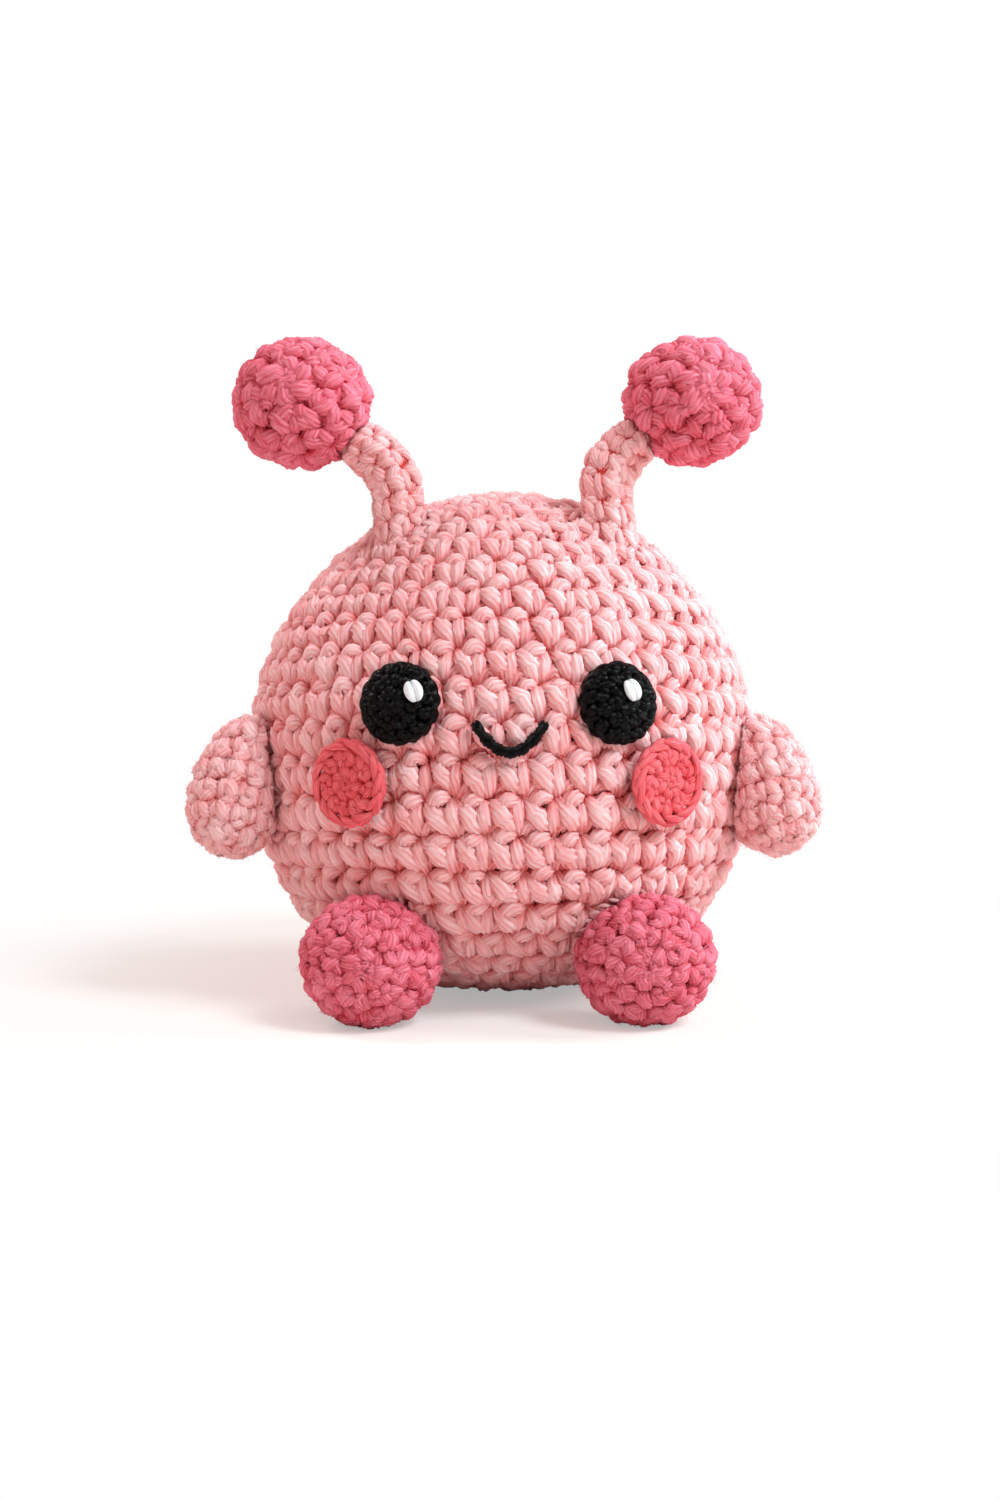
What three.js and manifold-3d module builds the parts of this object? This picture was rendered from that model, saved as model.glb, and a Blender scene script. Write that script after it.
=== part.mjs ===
// Crochet monster, a small stuffed toy that sits on its underside and on two round feet.
// Millimetres, +Z up, the face looks along -Y, +X is on the right of someone who looks at the face.
// The origin lies on the resting plane, straight below the centre of the body.

import * as THREE from "three";
import { mergeVertices } from "three/addons/utils/BufferGeometryUtils.js";
import Module from "manifold-3d";

const wasm = await Module();
wasm.setup();

// Clearances
const seatGap = 0.3;
const fillingGap = 0.3;
const swingGap = 0.3;

// Body: a ball above its middle, fuller below it, leaning back a little as it sits
const bodyRadius = 33;
const lowerFullness = 2.5;
const leanDegrees = 6;
const coverWall = 2.4;
const startingRingRadius = 1.2;
const restingCut = 0.5;

// Crochet rounds of the body, as lengths down its outline from the crown, with a groove between two rounds
const crownRoundLength = 4;
const upperRoundLength = 4.6;
const upperRounds = 12;
const lowerRoundLength = 4.85;
const roundGroove = 1;
const plainSeatLength = 18;

// Antenna: a curved stalk with a ball, measured in the leaning frame of the body
const stalkRadius = 3.5;
const stalkWall = 1.9;
const stalkMouthRadius = 1.9;
const stalkMouthDepth = 0.5;
const leftStalkBaseSide = 13.7;
const leftStalkTipSide = 17.5;
const rightStalkBaseSide = 13;
const rightStalkTipSide = 15.9;
const stalkBaseForward = 13;
const stalkTipRise = 5.1;
const stalkBow = 0.9;
const ballWidth = 18.4;
const ballHeight = 17;
const ballWall = 2.2;
const ballTiltDegrees = 55;
const ballSink = 2.4;
const stalkSwayDegrees = 20;
const stalkSewingRadius = 3.4;
const stalkSewingThickness = 2.2;

// Arm: narrower at the shoulder, round and wide at the hand, sewn on by its upper inner side
const shoulderRadius = 4.3;
const shoulderHeight = -1.3;
const shoulderPress = 2.6;
const shoulderForwardDegrees = 19;
const handRadius = 6.1;
const handDrop = 8;
const handPress = 1.9;
const handForwardDegrees = 21;
const armNeckLength = 1.6;
const armSwellLength = 4.4;
const armWall = 2;
const armHingeHeight = 2.2;
const armHingeLift = 0.6;
const armLiftDegrees = 75;
const armSewingRadius = 2.3;
const armSewingThickness = 1.5;

// Foot: a ball pressed against the lower front of the body
const footWidth = 17.6;
const footHeight = 16.6;
const footDepth = 17;
const footWall = 2.2;
const footSpread = 16.8;
const footForward = 27.2;
const footMouthRadius = 2;
const footSewingWidth = 0.9;

// Face
const eyeRadius = 5.1;
const eyeDome = 2.9;
const eyeSide = 13;
const eyeRise = 3.6;
const highlightWidth = 2.4;
const highlightHeight = 2.8;
const highlightThickness = 1;
const highlightSide = 1.6;
const highlightRise = 1.7;
const cheekRadius = 5.5;
const cheekThickness = 1.5;
const cheekSide = 18.7;
const cheekRise = -5.8;
const mouthYarnRadius = 0.6;
const mouthHalfWidth = 4.2;
const mouthCornerRise = 1.4;
const mouthDip = 2.3;

// Facets
const bodyFacets = { around: 40, rows: 20 };
const roundFacets = 36;
const finestRows = 80;
const seatRows = 5;
const hollowFacets = { around: 20, rows: 10 };
const limbFacets = { around: 20, rows: 12 };
const smallFacets = { around: 14, rows: 8 };
const armCurveSteps = 3;
const tubeHalfSides = 6;
const tubeSteps = 6;
const mouthHalfSides = 4;
const mouthSteps = 10;
const armLiftSteps = 3;
const ringFacets = { around: 18, tube: 6 };
const smallestEdge = 1e-4;

// The two antennae are not quite mirror images, as on the hand-made toy.
const sides = [
  { name: "left", sign: -1, stalkBaseSide: leftStalkBaseSide, stalkTipSide: leftStalkTipSide },
  { name: "right", sign: 1, stalkBaseSide: rightStalkBaseSide, stalkTipSide: rightStalkTipSide },
];

const yarnPink = { color: 0xf0a8a8, roughness: 0.9, metalness: 0 };
const yarnRose = { color: 0xd85a78, roughness: 0.9, metalness: 0 };
const yarnCoral = { color: 0xeb5c66, roughness: 0.85, metalness: 0 };
const yarnBlack = { color: 0x141416, roughness: 0.8, metalness: 0 };
const yarnWhite = { color: 0xf6f6f4, roughness: 0.7, metalness: 0 };
const fibreFill = { color: 0xf2efe8, roughness: 1, metalness: 0 };

// The toy leans back about the X axis until its underside and its feet share one plane.
const lean = THREE.MathUtils.degToRad(leanDegrees);
const bodyCentreHeight = reachAlong(lean) - restingCut;
const monster = new THREE.Group();
const leaning = new THREE.Group();
leaning.rotation.x = -lean;
leaning.position.z = bodyCentreHeight;
monster.add(leaning);

// How far the body reaches from its centre in a direction that many radians off its own axis, downwards.
function reachAlong(angle) {
  const dual = lowerFullness / (lowerFullness - 1);
  return bodyRadius * (Math.sin(angle) ** dual + Math.cos(angle) ** dual) ** (1 / dual);
}

// The radius of the body's round section at a height above its centre.
function bodySectionRadius(height) {
  const share = Math.min(Math.abs(height) / bodyRadius, 1);
  const power = height > 0 ? 2 : lowerFullness;
  return bodyRadius * (1 - share ** power) ** (1 / power);
}

// Half outline of the body, from the bottom pole to the top pole, moved outwards by grow.
function bodyOutline(grow, rows) {
  const reach = bodyRadius + grow;
  const outline = [];
  for (let row = 0; row <= rows; row += 1) {
    const angle = Math.PI * (row / rows - 0.5);
    const power = angle > 0 ? 1 : 2 / lowerFullness;
    const across = Math.abs(Math.cos(angle)) ** power;
    const along = Math.sign(angle) * Math.abs(Math.sin(angle)) ** power;
    outline.push(new THREE.Vector2(row % rows === 0 ? 0 : across * reach, along * reach));
  }
  return outline;
}

// Half outline of the crochet cover, drawn in where two rounds meet and plain where the toy rests.
function coverOutline() {
  const smooth = new THREE.SplineCurve(bodyOutline(0, finestRows).reverse());
  const end = smooth.getLength();
  const outline = [new THREE.Vector2(0, bodyRadius)];
  let roundStart = 0;
  let groove = crownRoundLength;
  for (let round = 1; groove < end - plainSeatLength; round += 1) {
    const inwards = smooth.getTangentAt(groove / end).rotateAround(new THREE.Vector2(), -Math.PI / 2);
    outline.push(smooth.getPointAt((roundStart + groove) / 2 / end));
    outline.push(smooth.getPointAt(groove / end).addScaledVector(inwards, roundGroove));
    roundStart = groove;
    groove += round <= upperRounds ? upperRoundLength : lowerRoundLength;
  }
  for (let row = 0; row < seatRows; row += 1) {
    const share = (row + 0.5) / seatRows;
    outline.push(smooth.getPointAt(THREE.MathUtils.lerp(roundStart / end, 1, share)));
  }
  outline.push(new THREE.Vector2(0, -bodyRadius));
  return outline.reverse();
}

// A solid of revolution about +Z.
function turned(outline, segments) {
  const geometry = new THREE.LatheGeometry(outline, segments);
  geometry.rotateX(Math.PI / 2);
  return geometry;
}

function ballGeometry(radius, facets = smallFacets) {
  return new THREE.SphereGeometry(radius, facets.around, facets.rows);
}

// A round rod that follows a curve.
function rodGeometry(curve, radius, halfSides = tubeHalfSides, steps = tubeSteps) {
  const section = new THREE.Shape();
  section.absarc(0, 0, radius, 0, Math.PI * 2);
  return new THREE.ExtrudeGeometry(section, { steps, curveSegments: halfSides, extrudePath: curve });
}

function place(parent, geometry, position = new THREE.Vector3()) {
  const mesh = new THREE.Mesh(geometry);
  mesh.position.copy(position);
  parent.add(mesh);
  return mesh;
}

// The solid that a placed mesh stands for, in the frame of the whole toy.
function solidOf(mesh) {
  mesh.updateWorldMatrix(true, false);
  let geometry = mesh.geometry.clone().applyMatrix4(mesh.matrixWorld);
  geometry.deleteAttribute("normal");
  geometry.deleteAttribute("uv");
  geometry = mergeVertices(geometry, smallestEdge);
  const corners = geometry.index.array;
  const kept = [];
  for (let start = 0; start < corners.length; start += 3) {
    const [a, b, c] = corners.subarray(start, start + 3);
    if (a !== b && b !== c && c !== a) kept.push(a, b, c);
  }
  return new wasm.Manifold(new wasm.Mesh({
    numProp: 3,
    vertProperties: new Float32Array(geometry.attributes.position.array),
    triVerts: new Uint32Array(kept),
  }));
}

// Gives a placed mesh the shape of a solid, brought back into the mesh's own frame.
function reshape(mesh, solid) {
  const { vertProperties, triVerts } = solid.getMesh();
  const geometry = new THREE.BufferGeometry();
  geometry.setAttribute("position", new THREE.BufferAttribute(new Float32Array(vertProperties), 3));
  geometry.setIndex(new THREE.BufferAttribute(new Uint32Array(triVerts), 1));
  geometry.applyMatrix4(mesh.matrixWorld.clone().invert());
  geometry.computeVertexNormals();
  mesh.geometry = geometry;
}

// Cuts, joins and trims a placed mesh with others, which are only tools and leave the scene.
function work(mesh, { join = [], keepWithin = [], cut = [] }) {
  let solid = solidOf(mesh);
  for (const tool of join) solid = solid.add(solidOf(tool));
  for (const tool of keepWithin) solid = solid.intersect(solidOf(tool));
  for (const tool of cut) solid = solid.subtract(solidOf(tool));
  reshape(mesh, solid);
  for (const tool of [...join, ...keepWithin, ...cut]) tool.removeFromParent();
}

function finish(mesh, name, material) {
  mesh.name = name;
  mesh.material = new THREE.MeshStandardMaterial(material);
  return mesh;
}

// Cutting tools that many pieces share
function grownBody(grow, facets = bodyFacets) {
  return place(leaning, turned(bodyOutline(grow, facets.rows), facets.around));
}

function belowFloor() {
  const slab = 4 * bodyRadius;
  return place(monster, new THREE.BoxGeometry(slab, slab, slab), new THREE.Vector3(0, 0, -slab / 2));
}

// The body as a limb meets it, seen from a limb that has turned by an angle about a pivot.
function bodyMetWhenTurned(pivot, axis, angle) {
  const tool = grownBody(swingGap);
  tool.position.sub(pivot).applyAxisAngle(axis, -angle).add(pivot);
  tool.quaternion.setFromAxisAngle(axis, -angle);
  return tool;
}

// A round ring of yarn about a direction.
function yarnRing(parent, ringRadius, yarnRadius, direction) {
  const ring = place(parent, new THREE.TorusGeometry(ringRadius, yarnRadius, ringFacets.tube, ringFacets.around));
  ring.quaternion.setFromUnitVectors(new THREE.Vector3(0, 0, 1), direction);
  return ring;
}

function pillar(parent, point, direction, radius, length) {
  const geometry = new THREE.CylinderGeometry(radius, radius, length, limbFacets.around);
  geometry.rotateX(Math.PI / 2);
  const tool = place(parent, geometry, point);
  tool.quaternion.setFromUnitVectors(new THREE.Vector3(0, 0, 1), direction);
  return tool;
}

// The point of the body's front at a side and rise from its centre, and the outward direction there.
function frontOfBody(side, rise) {
  const forward = Math.sqrt(bodySectionRadius(rise) ** 2 - side ** 2);
  const power = rise > 0 ? 2 : lowerFullness;
  const across = bodySectionRadius(rise);
  const normal = new THREE.Vector3(
    (side / across) * across ** (power - 1),
    (-forward / across) * across ** (power - 1),
    Math.sign(rise) * Math.abs(rise) ** (power - 1),
  );
  return { point: new THREE.Vector3(side, -forward, rise), normal: normal.normalize() };
}

function makeBody() {
  const cover = place(leaning, turned(coverOutline(), roundFacets));
  const top = new THREE.Vector3(0, 0, bodyRadius);
  const upwards = new THREE.Vector3(0, 0, 1);
  work(cover, {
    cut: [
      grownBody(-coverWall, hollowFacets),
      pillar(leaning, top, upwards, startingRingRadius, 2 * (coverWall + fillingGap)),
      belowFloor(),
    ],
  });
  finish(cover, "body_cover", yarnPink);
  const filling = grownBody(-coverWall - fillingGap, hollowFacets);
  work(filling, {});
  finish(filling, "body_filling", fibreFill);
}

// The middle line of a stalk, in the frame of its base, bowed towards the other stalk.
function stalkCurve(sign, tip) {
  const bend = tip.clone().multiplyScalar(0.5);
  bend.x -= 2 * sign * stalkBow;
  return new THREE.QuadraticBezierCurve3(new THREE.Vector3(), bend, tip);
}

function ballOutline(shrink, facets = smallFacets) {
  const geometry = ballGeometry(1, facets);
  geometry.rotateX(Math.PI / 2);
  geometry.scale(ballWidth / 2 - shrink, ballWidth / 2 - shrink, ballHeight / 2 - shrink);
  return geometry;
}

function makeAntenna({ name, sign, stalkBaseSide, stalkTipSide }) {
  const baseRise = Math.sqrt(
    (bodyRadius + stalkRadius + seatGap) ** 2 - stalkBaseSide ** 2 - stalkBaseForward ** 2,
  );
  const stalkGroup = new THREE.Group();
  stalkGroup.position.set(sign * stalkBaseSide, -stalkBaseForward, baseRise);
  leaning.add(stalkGroup);

  const tip = new THREE.Vector3(sign * (stalkTipSide - stalkBaseSide), 0, stalkTipRise);
  const middleLine = stalkCurve(sign, tip);
  const bore = stalkRadius - stalkWall;
  const mouthAt = (end, direction) => {
    const middle = end.clone().addScaledVector(direction, stalkRadius - stalkMouthDepth);
    return pillar(stalkGroup, middle, direction, stalkMouthRadius, 2 * stalkRadius);
  };
  const stalk = place(stalkGroup, rodGeometry(middleLine, stalkRadius));
  work(stalk, {
    join: [
      place(stalkGroup, ballGeometry(stalkRadius)),
      place(stalkGroup, ballGeometry(stalkRadius), tip),
    ],
    cut: [
      place(stalkGroup, rodGeometry(middleLine, bore)),
      mouthAt(new THREE.Vector3(), middleLine.getTangent(0).negate()),
      mouthAt(tip, middleLine.getTangent(1)),
    ],
  });
  finish(stalk, `${name}_antenna_stalk`, yarnPink);

  const core = place(stalkGroup, rodGeometry(middleLine, bore - fillingGap));
  work(core, {});
  finish(core, `${name}_stalk_filling`, fibreFill);

  // A ring of sewing stitches holds the stalk's round base, low enough for the stalk to sway.
  const outwards = stalkGroup.position.clone().normalize();
  const steepest = outwards.angleTo(middleLine.getTangent(0)) + THREE.MathUtils.degToRad(stalkSwayDegrees);
  const roundedPart = Math.acos(stalkRadius / (stalkRadius + swingGap));
  const swayDrop = (stalkRadius + swingGap) * Math.sin(steepest - roundedPart) + swingGap;
  const ringDrop = swayDrop + stalkSewingThickness / 2;
  const sewing = yarnRing(stalkGroup, stalkSewingRadius, stalkSewingThickness / 2, outwards);
  sewing.position.addScaledVector(outwards, -ringDrop);
  work(sewing, { cut: [place(stalkGroup, ballGeometry(stalkRadius + swingGap)), grownBody(seatGap)] });
  finish(sewing, `${name}_antenna_sewing`, yarnPink);

  // The ball sits over the rounded tip, which fills its open mouth.
  const ballTilt = THREE.MathUtils.degToRad(ballTiltDegrees);
  const towardsBall = new THREE.Vector3(sign * Math.sin(ballTilt), 0, Math.cos(ballTilt));
  const reach = 1 / Math.hypot(Math.sin(ballTilt) / (ballWidth / 2), Math.cos(ballTilt) / (ballHeight / 2));
  const ballGroup = new THREE.Group();
  ballGroup.position.copy(tip);
  stalkGroup.add(ballGroup);
  const centre = towardsBall.clone().multiplyScalar(reach + stalkRadius - ballSink);
  const ball = place(ballGroup, ballOutline(0, limbFacets), centre);
  work(ball, {
    cut: [
      place(ballGroup, ballOutline(ballWall), centre),
      place(ballGroup, ballGeometry(stalkRadius + swingGap)),
    ],
  });
  finish(ball, `${name}_antenna_ball`, yarnRose);

  const filling = place(ballGroup, ballOutline(ballWall + fillingGap), centre);
  work(filling, { cut: [place(ballGroup, ballGeometry(stalkRadius + swingGap + fillingGap))] });
  finish(filling, `${name}_ball_filling`, fibreFill);
}

// Half outline of an arm from its shoulder end to its tip, drawn in by shrink.
function armOutline(shrink, tipDistance) {
  const shoulder = shoulderRadius - shrink;
  const hand = handRadius - shrink;
  const outline = new THREE.Path();
  outline.moveTo(0, -shoulder);
  outline.absarc(0, 0, shoulder, -Math.PI / 2, 0);
  outline.bezierCurveTo(shoulder, armNeckLength, hand, tipDistance - armSwellLength, hand, tipDistance);
  outline.absarc(0, tipDistance, hand, 0, Math.PI / 2);
  const points = outline.getPoints(armCurveSteps);
  points[points.length - 1].x = 0;
  return points;
}

function makeArm({ name, sign }) {
  const aside = (degrees, distance, height) => {
    const angle = THREE.MathUtils.degToRad(degrees);
    return new THREE.Vector3(sign * distance * Math.cos(angle), -distance * Math.sin(angle), height);
  };
  const handHeight = shoulderHeight - handDrop;
  const shoulderReach = bodySectionRadius(shoulderHeight) + seatGap + shoulderRadius - shoulderPress;
  const handReach = bodySectionRadius(handHeight) + seatGap + handRadius - handPress;
  const shoulder = aside(shoulderForwardDegrees, shoulderReach, shoulderHeight);
  const hand = aside(handForwardDegrees, handReach, handHeight);
  const outwards = aside(shoulderForwardDegrees, 1, 0);
  const armLine = hand.clone().sub(shoulder);
  const tipDistance = armLine.length();

  const armGroup = new THREE.Group();
  armGroup.position.copy(shoulder);
  leaning.add(armGroup);
  const along = armLine.clone().normalize();
  const aimed = (geometry) => {
    const mesh = place(armGroup, geometry);
    mesh.quaternion.setFromUnitVectors(new THREE.Vector3(0, 0, 1), along);
    return mesh;
  };

  // The arm's sewn end is a ring of stitches on the body, under the arm and just below its hinge.
  const sewingHeight = armHingeHeight - armHingeLift - armSewingRadius - armSewingThickness / 2;
  const sewingReach = bodySectionRadius(sewingHeight) + seatGap;
  const sewingPlace = aside(shoulderForwardDegrees, sewingReach, sewingHeight).sub(shoulder);
  const sewingBlank = (grow) => {
    const ring = yarnRing(armGroup, armSewingRadius, armSewingThickness / 2 + grow, outwards);
    ring.position.copy(sewingPlace);
    return ring;
  };

  // The arm lifts about a hinge at its top, so its top is cut as the body meets it on the way up.
  const hinge = aside(shoulderForwardDegrees, bodySectionRadius(armHingeHeight) + armHingeLift, armHingeHeight);
  const hingeAxis = new THREE.Vector3(0, -sign, 0);
  const liftStops = Array.from({ length: armLiftSteps }, (_, step) => (step + 1) / armLiftSteps);
  const metOnTheWay = () => liftStops.map((share) => {
    return bodyMetWhenTurned(hinge, hingeAxis, THREE.MathUtils.degToRad(armLiftDegrees * share));
  });

  const arm = aimed(turned(armOutline(0, tipDistance), limbFacets.around));
  const mouthLength = 2 * shoulderRadius;
  const mouth = pillar(armGroup, sewingPlace, outwards, armSewingRadius - armSewingThickness / 2, mouthLength);
  work(arm, {
    cut: [
      aimed(turned(armOutline(armWall, tipDistance), smallFacets.around)),
      mouth,
      grownBody(seatGap),
      sewingBlank(seatGap),
      ...metOnTheWay(),
    ],
  });
  finish(arm, `${name}_arm`, yarnPink);

  const filling = aimed(turned(armOutline(armWall + fillingGap, tipDistance), smallFacets.around));
  work(filling, { cut: [grownBody(2 * seatGap + armSewingThickness / 2)] });
  finish(filling, `${name}_arm_filling`, fibreFill);

  const sewing = sewingBlank(0);
  work(sewing, { cut: [grownBody(seatGap)] });
  finish(sewing, `${name}_arm_sewing`, yarnPink);
}

function footOutline(grow, facets = limbFacets) {
  const geometry = ballGeometry(1, facets);
  geometry.scale(footWidth / 2 + grow, footDepth / 2 + grow, footHeight / 2 + grow);
  return geometry;
}

function makeFoot({ name, sign }) {
  const footGroup = new THREE.Group();
  footGroup.position.set(sign * footSpread, -footForward, footHeight / 2 - restingCut);
  monster.add(footGroup);

  const bodyMiddle = leaning.position.clone().sub(footGroup.position);
  const towardsBody = bodyMiddle.normalize();
  const mouth = towardsBody.clone().multiplyScalar(footDepth / 2);
  const foot = place(footGroup, footOutline(0));
  work(foot, {
    cut: [
      place(footGroup, footOutline(-footWall, smallFacets)),
      pillar(footGroup, mouth, towardsBody, footMouthRadius, footDepth),
      grownBody(seatGap),
      belowFloor(),
    ],
  });
  finish(foot, `${name}_foot`, yarnRose);

  const filling = place(footGroup, footOutline(-footWall - fillingGap, smallFacets));
  work(filling, { cut: [grownBody(seatGap + fillingGap)] });
  finish(filling, `${name}_foot_filling`, fibreFill);

  // Sewing stitches fill the groove all round the place where the foot presses on the body.
  const sewing = place(footGroup, footOutline(seatGap + footSewingWidth));
  work(sewing, {
    keepWithin: [grownBody(seatGap + footSewingWidth)],
    cut: [grownBody(seatGap), place(footGroup, footOutline(seatGap)), belowFloor()],
  });
  finish(sewing, `${name}_foot_sewing`, yarnPink);
}

function domeGeometry(width, height, thickness, facets = smallFacets) {
  const geometry = ballGeometry(1, facets);
  geometry.rotateX(Math.PI / 2);
  geometry.scale(width / 2, height / 2, thickness);
  return geometry;
}

function makeEye({ name, sign }) {
  const { point, normal } = frontOfBody(sign * eyeSide, eyeRise);
  const eyeGroup = new THREE.Group();
  eyeGroup.position.copy(point);
  eyeGroup.quaternion.setFromUnitVectors(new THREE.Vector3(0, 0, 1), normal);
  leaning.add(eyeGroup);
  const eye = place(eyeGroup, domeGeometry(2 * eyeRadius, 2 * eyeRadius, eyeDome, limbFacets));
  work(eye, { cut: [grownBody(seatGap)] });
  finish(eye, `${name}_eye`, yarnBlack);

  // Seen from the front, both highlights lie up and to the right of the middle of their eye.
  const radii = new THREE.Vector3(eyeRadius, eyeRadius, eyeDome);
  const intoEyeFrame = eyeGroup.quaternion.clone().invert();
  const behind = new THREE.Vector3(highlightSide, 0, highlightRise).applyQuaternion(intoEyeFrame).divide(radii);
  const forwards = new THREE.Vector3(0, -1, 0).applyQuaternion(intoEyeFrame).divide(radii);
  const half = behind.dot(forwards) / forwards.lengthSq();
  const travel = Math.sqrt(half ** 2 + (1 - behind.lengthSq()) / forwards.lengthSq()) - half;
  const onUnitBall = behind.clone().addScaledVector(forwards, travel);
  const spot = onUnitBall.clone().multiply(radii);
  const spotNormal = onUnitBall.clone().divide(radii).normalize();
  const highlight = place(eyeGroup, domeGeometry(highlightWidth, highlightHeight, highlightThickness), spot);
  highlight.quaternion.setFromUnitVectors(new THREE.Vector3(0, 0, 1), spotNormal);
  const eyeWithGap = domeGeometry(
    2 * (eyeRadius + seatGap),
    2 * (eyeRadius + seatGap),
    eyeDome + seatGap,
    limbFacets,
  );
  work(highlight, { cut: [place(eyeGroup, eyeWithGap)] });
  finish(highlight, `${name}_eye_highlight`, yarnWhite);
}

function makeCheek({ name, sign }) {
  const { point, normal } = frontOfBody(sign * cheekSide, cheekRise);
  const cheek = pillar(leaning, point, normal, cheekRadius, 4 * (seatGap + cheekThickness));
  work(cheek, { keepWithin: [grownBody(seatGap + cheekThickness)], cut: [grownBody(seatGap)] });
  finish(cheek, `${name}_cheek`, yarnCoral);
}

// The mouth is one thick yarn that lies on the body from corner to corner.
function makeMouth() {
  const lift = seatGap + mouthYarnRadius;
  const route = [-1, -0.5, 0, 0.5, 1].map((share) => {
    const rise = (mouthCornerRise + mouthDip) * share ** 2 - mouthDip;
    const { point, normal } = frontOfBody(share * mouthHalfWidth, rise);
    return point.addScaledVector(normal, lift);
  });
  const curve = new THREE.CatmullRomCurve3(route);
  const mouth = place(leaning, rodGeometry(curve, mouthYarnRadius, mouthHalfSides, mouthSteps));
  work(mouth, {});
  finish(mouth, "mouth", yarnBlack);
}

makeBody();
for (const side of sides) {
  makeAntenna(side);
  makeArm(side);
  makeFoot(side);
  makeEye(side);
  makeCheek(side);
}
makeMouth();

export default monster;
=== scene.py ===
import math
from functools import partial

import bmesh
import bpy
import numpy as np
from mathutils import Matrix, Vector


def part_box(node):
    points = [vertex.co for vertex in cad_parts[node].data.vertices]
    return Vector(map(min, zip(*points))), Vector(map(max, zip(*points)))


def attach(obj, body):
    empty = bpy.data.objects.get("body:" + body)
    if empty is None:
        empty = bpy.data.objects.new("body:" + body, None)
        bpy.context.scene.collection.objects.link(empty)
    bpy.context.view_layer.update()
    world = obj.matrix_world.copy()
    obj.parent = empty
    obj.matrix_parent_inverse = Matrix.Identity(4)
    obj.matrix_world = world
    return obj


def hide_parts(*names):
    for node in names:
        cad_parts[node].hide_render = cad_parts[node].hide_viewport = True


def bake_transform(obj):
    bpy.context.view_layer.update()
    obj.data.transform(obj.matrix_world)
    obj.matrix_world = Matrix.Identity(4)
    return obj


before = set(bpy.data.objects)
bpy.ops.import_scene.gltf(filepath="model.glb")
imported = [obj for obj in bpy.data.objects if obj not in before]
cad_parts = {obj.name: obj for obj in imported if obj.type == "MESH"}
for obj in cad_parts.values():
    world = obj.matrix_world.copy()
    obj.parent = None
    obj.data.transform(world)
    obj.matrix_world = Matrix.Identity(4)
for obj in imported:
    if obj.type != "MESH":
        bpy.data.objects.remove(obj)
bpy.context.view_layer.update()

# Sizes are in millimetres and become metres where a mesh is made. -Y is the toy's front and -X its left.
MM = 0.001
TURN = 2 * math.pi
TINY = 1e-12
RIGHT, FRONT, UP = np.array([1.0, 0, 0]), np.array([0, -1.0, 0]), np.array([0, 0, 1.0])
dice = np.random.default_rng(seed=11)

BODY_RADIUS = 33.0
BODY_LOWER_FULLNESS = 2.5
BODY_LEAN = math.radians(6)
BODY_CENTRE = np.array([0.0, 0.0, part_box("body_cover")[1].z / MM - BODY_RADIUS])
FLOOR_CLEARANCE = 0.03

SEAT_GAP = 0.3
SWING_GAP = 0.3
STALK_RADIUS = 3.5
STALK_BOW = 0.9
STALK_FORWARD = 13.0
STALK_BASE_SIDE = {"left": 13.7, "right": 13.0}
STALK_TIP_SIDE = {"left": 17.5, "right": 15.9}
STALK_TIP_RISE = 5.1
BALL_WIDTH, BALL_HEIGHT = 18.4, 17.0
BALL_TILT = math.radians(55)
BALL_SINK = 2.4
BALL_NOD = math.radians(10)
SHOULDER_RADIUS = 4.3
SHOULDER_HEIGHT = -1.3
SHOULDER_PRESS = 2.6
SHOULDER_FORWARD = math.radians(19)
HAND_RADIUS = 6.1
HAND_DROP = 8.0
HAND_PRESS = 1.9
HAND_FORWARD = math.radians(21)
ARM_NECK_LENGTH = 1.6
ARM_SWELL_LENGTH = 4.4
ARM_PLUMPNESS = 0.7
ARM_SLANT = 1.5
ARM_SLANT_START = 2.0
ARM_LIFT = math.radians(75)
ARM_HINGE = (31.7, -10.625, 36.107)
ARM_GAP = 0.5
ARM_MOUTH_RADIUS = 3.4
ARM_SEWING_RADIUS = 2.3
ARM_SEWING_HEIGHT = -1.45
FOOT_WIDTH, FOOT_DEPTH, FOOT_HEIGHT = 17.6, 17.0, 16.6
FOOT_SPREAD = 16.8
FOOT_FORWARD = 27.2
FOOT_POLE = (-0.05, -1, 0.06)
RESTING_CUT = 0.5
EYE_RADIUS = 5.1
EYE_DOME = 2.9
EYE_SIDE, EYE_RISE = 13.0, 3.6
HIGHLIGHT_SIDE, HIGHLIGHT_RISE = 1.6, 1.7
HIGHLIGHT_TILT = math.radians(18)
HIGHLIGHT_HALF_LENGTH = 1.3
CHEEK_RADIUS = 5.5
CHEEK_SIDE, CHEEK_RISE = 18.7, -5.8
CHEEK_HEIGHT, CHEEK_EDGE = 1.75, 0.7
MOUTH_YARN_RADIUS = 0.6
MOUTH_HALF_WIDTH = 4.2
MOUTH_CORNER_RISE, MOUTH_DIP = 1.4, 2.3

SIDES = {"left": -1, "right": 1}


def unit(vectors):
    return vectors / np.maximum(np.linalg.norm(vectors, axis=-1, keepdims=True), TINY)


LEAN_COS, LEAN_SIN = math.cos(BODY_LEAN), math.sin(BODY_LEAN)
LEAN = np.array([[1, 0, 0], [0, LEAN_COS, -LEAN_SIN], [0, LEAN_SIN, LEAN_COS]])


def leaned(points):
    """From the body's own frame, which leans back, to the frame of the whole toy."""
    return np.asarray(points, float) @ LEAN


def unleaned(points):
    return points @ LEAN.T


def fullness(height):
    """The power of the body's outline: its lower half is fuller than a sphere."""
    return np.where(height > 0, 2.0, BODY_LOWER_FULLNESS)


def body_section(height):
    """The radius of the body's round section at a height above its centre."""
    power = fullness(height)
    return BODY_RADIUS * (1 - np.minimum(np.abs(height) / BODY_RADIUS, 1) ** power) ** (1 / power)


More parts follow.
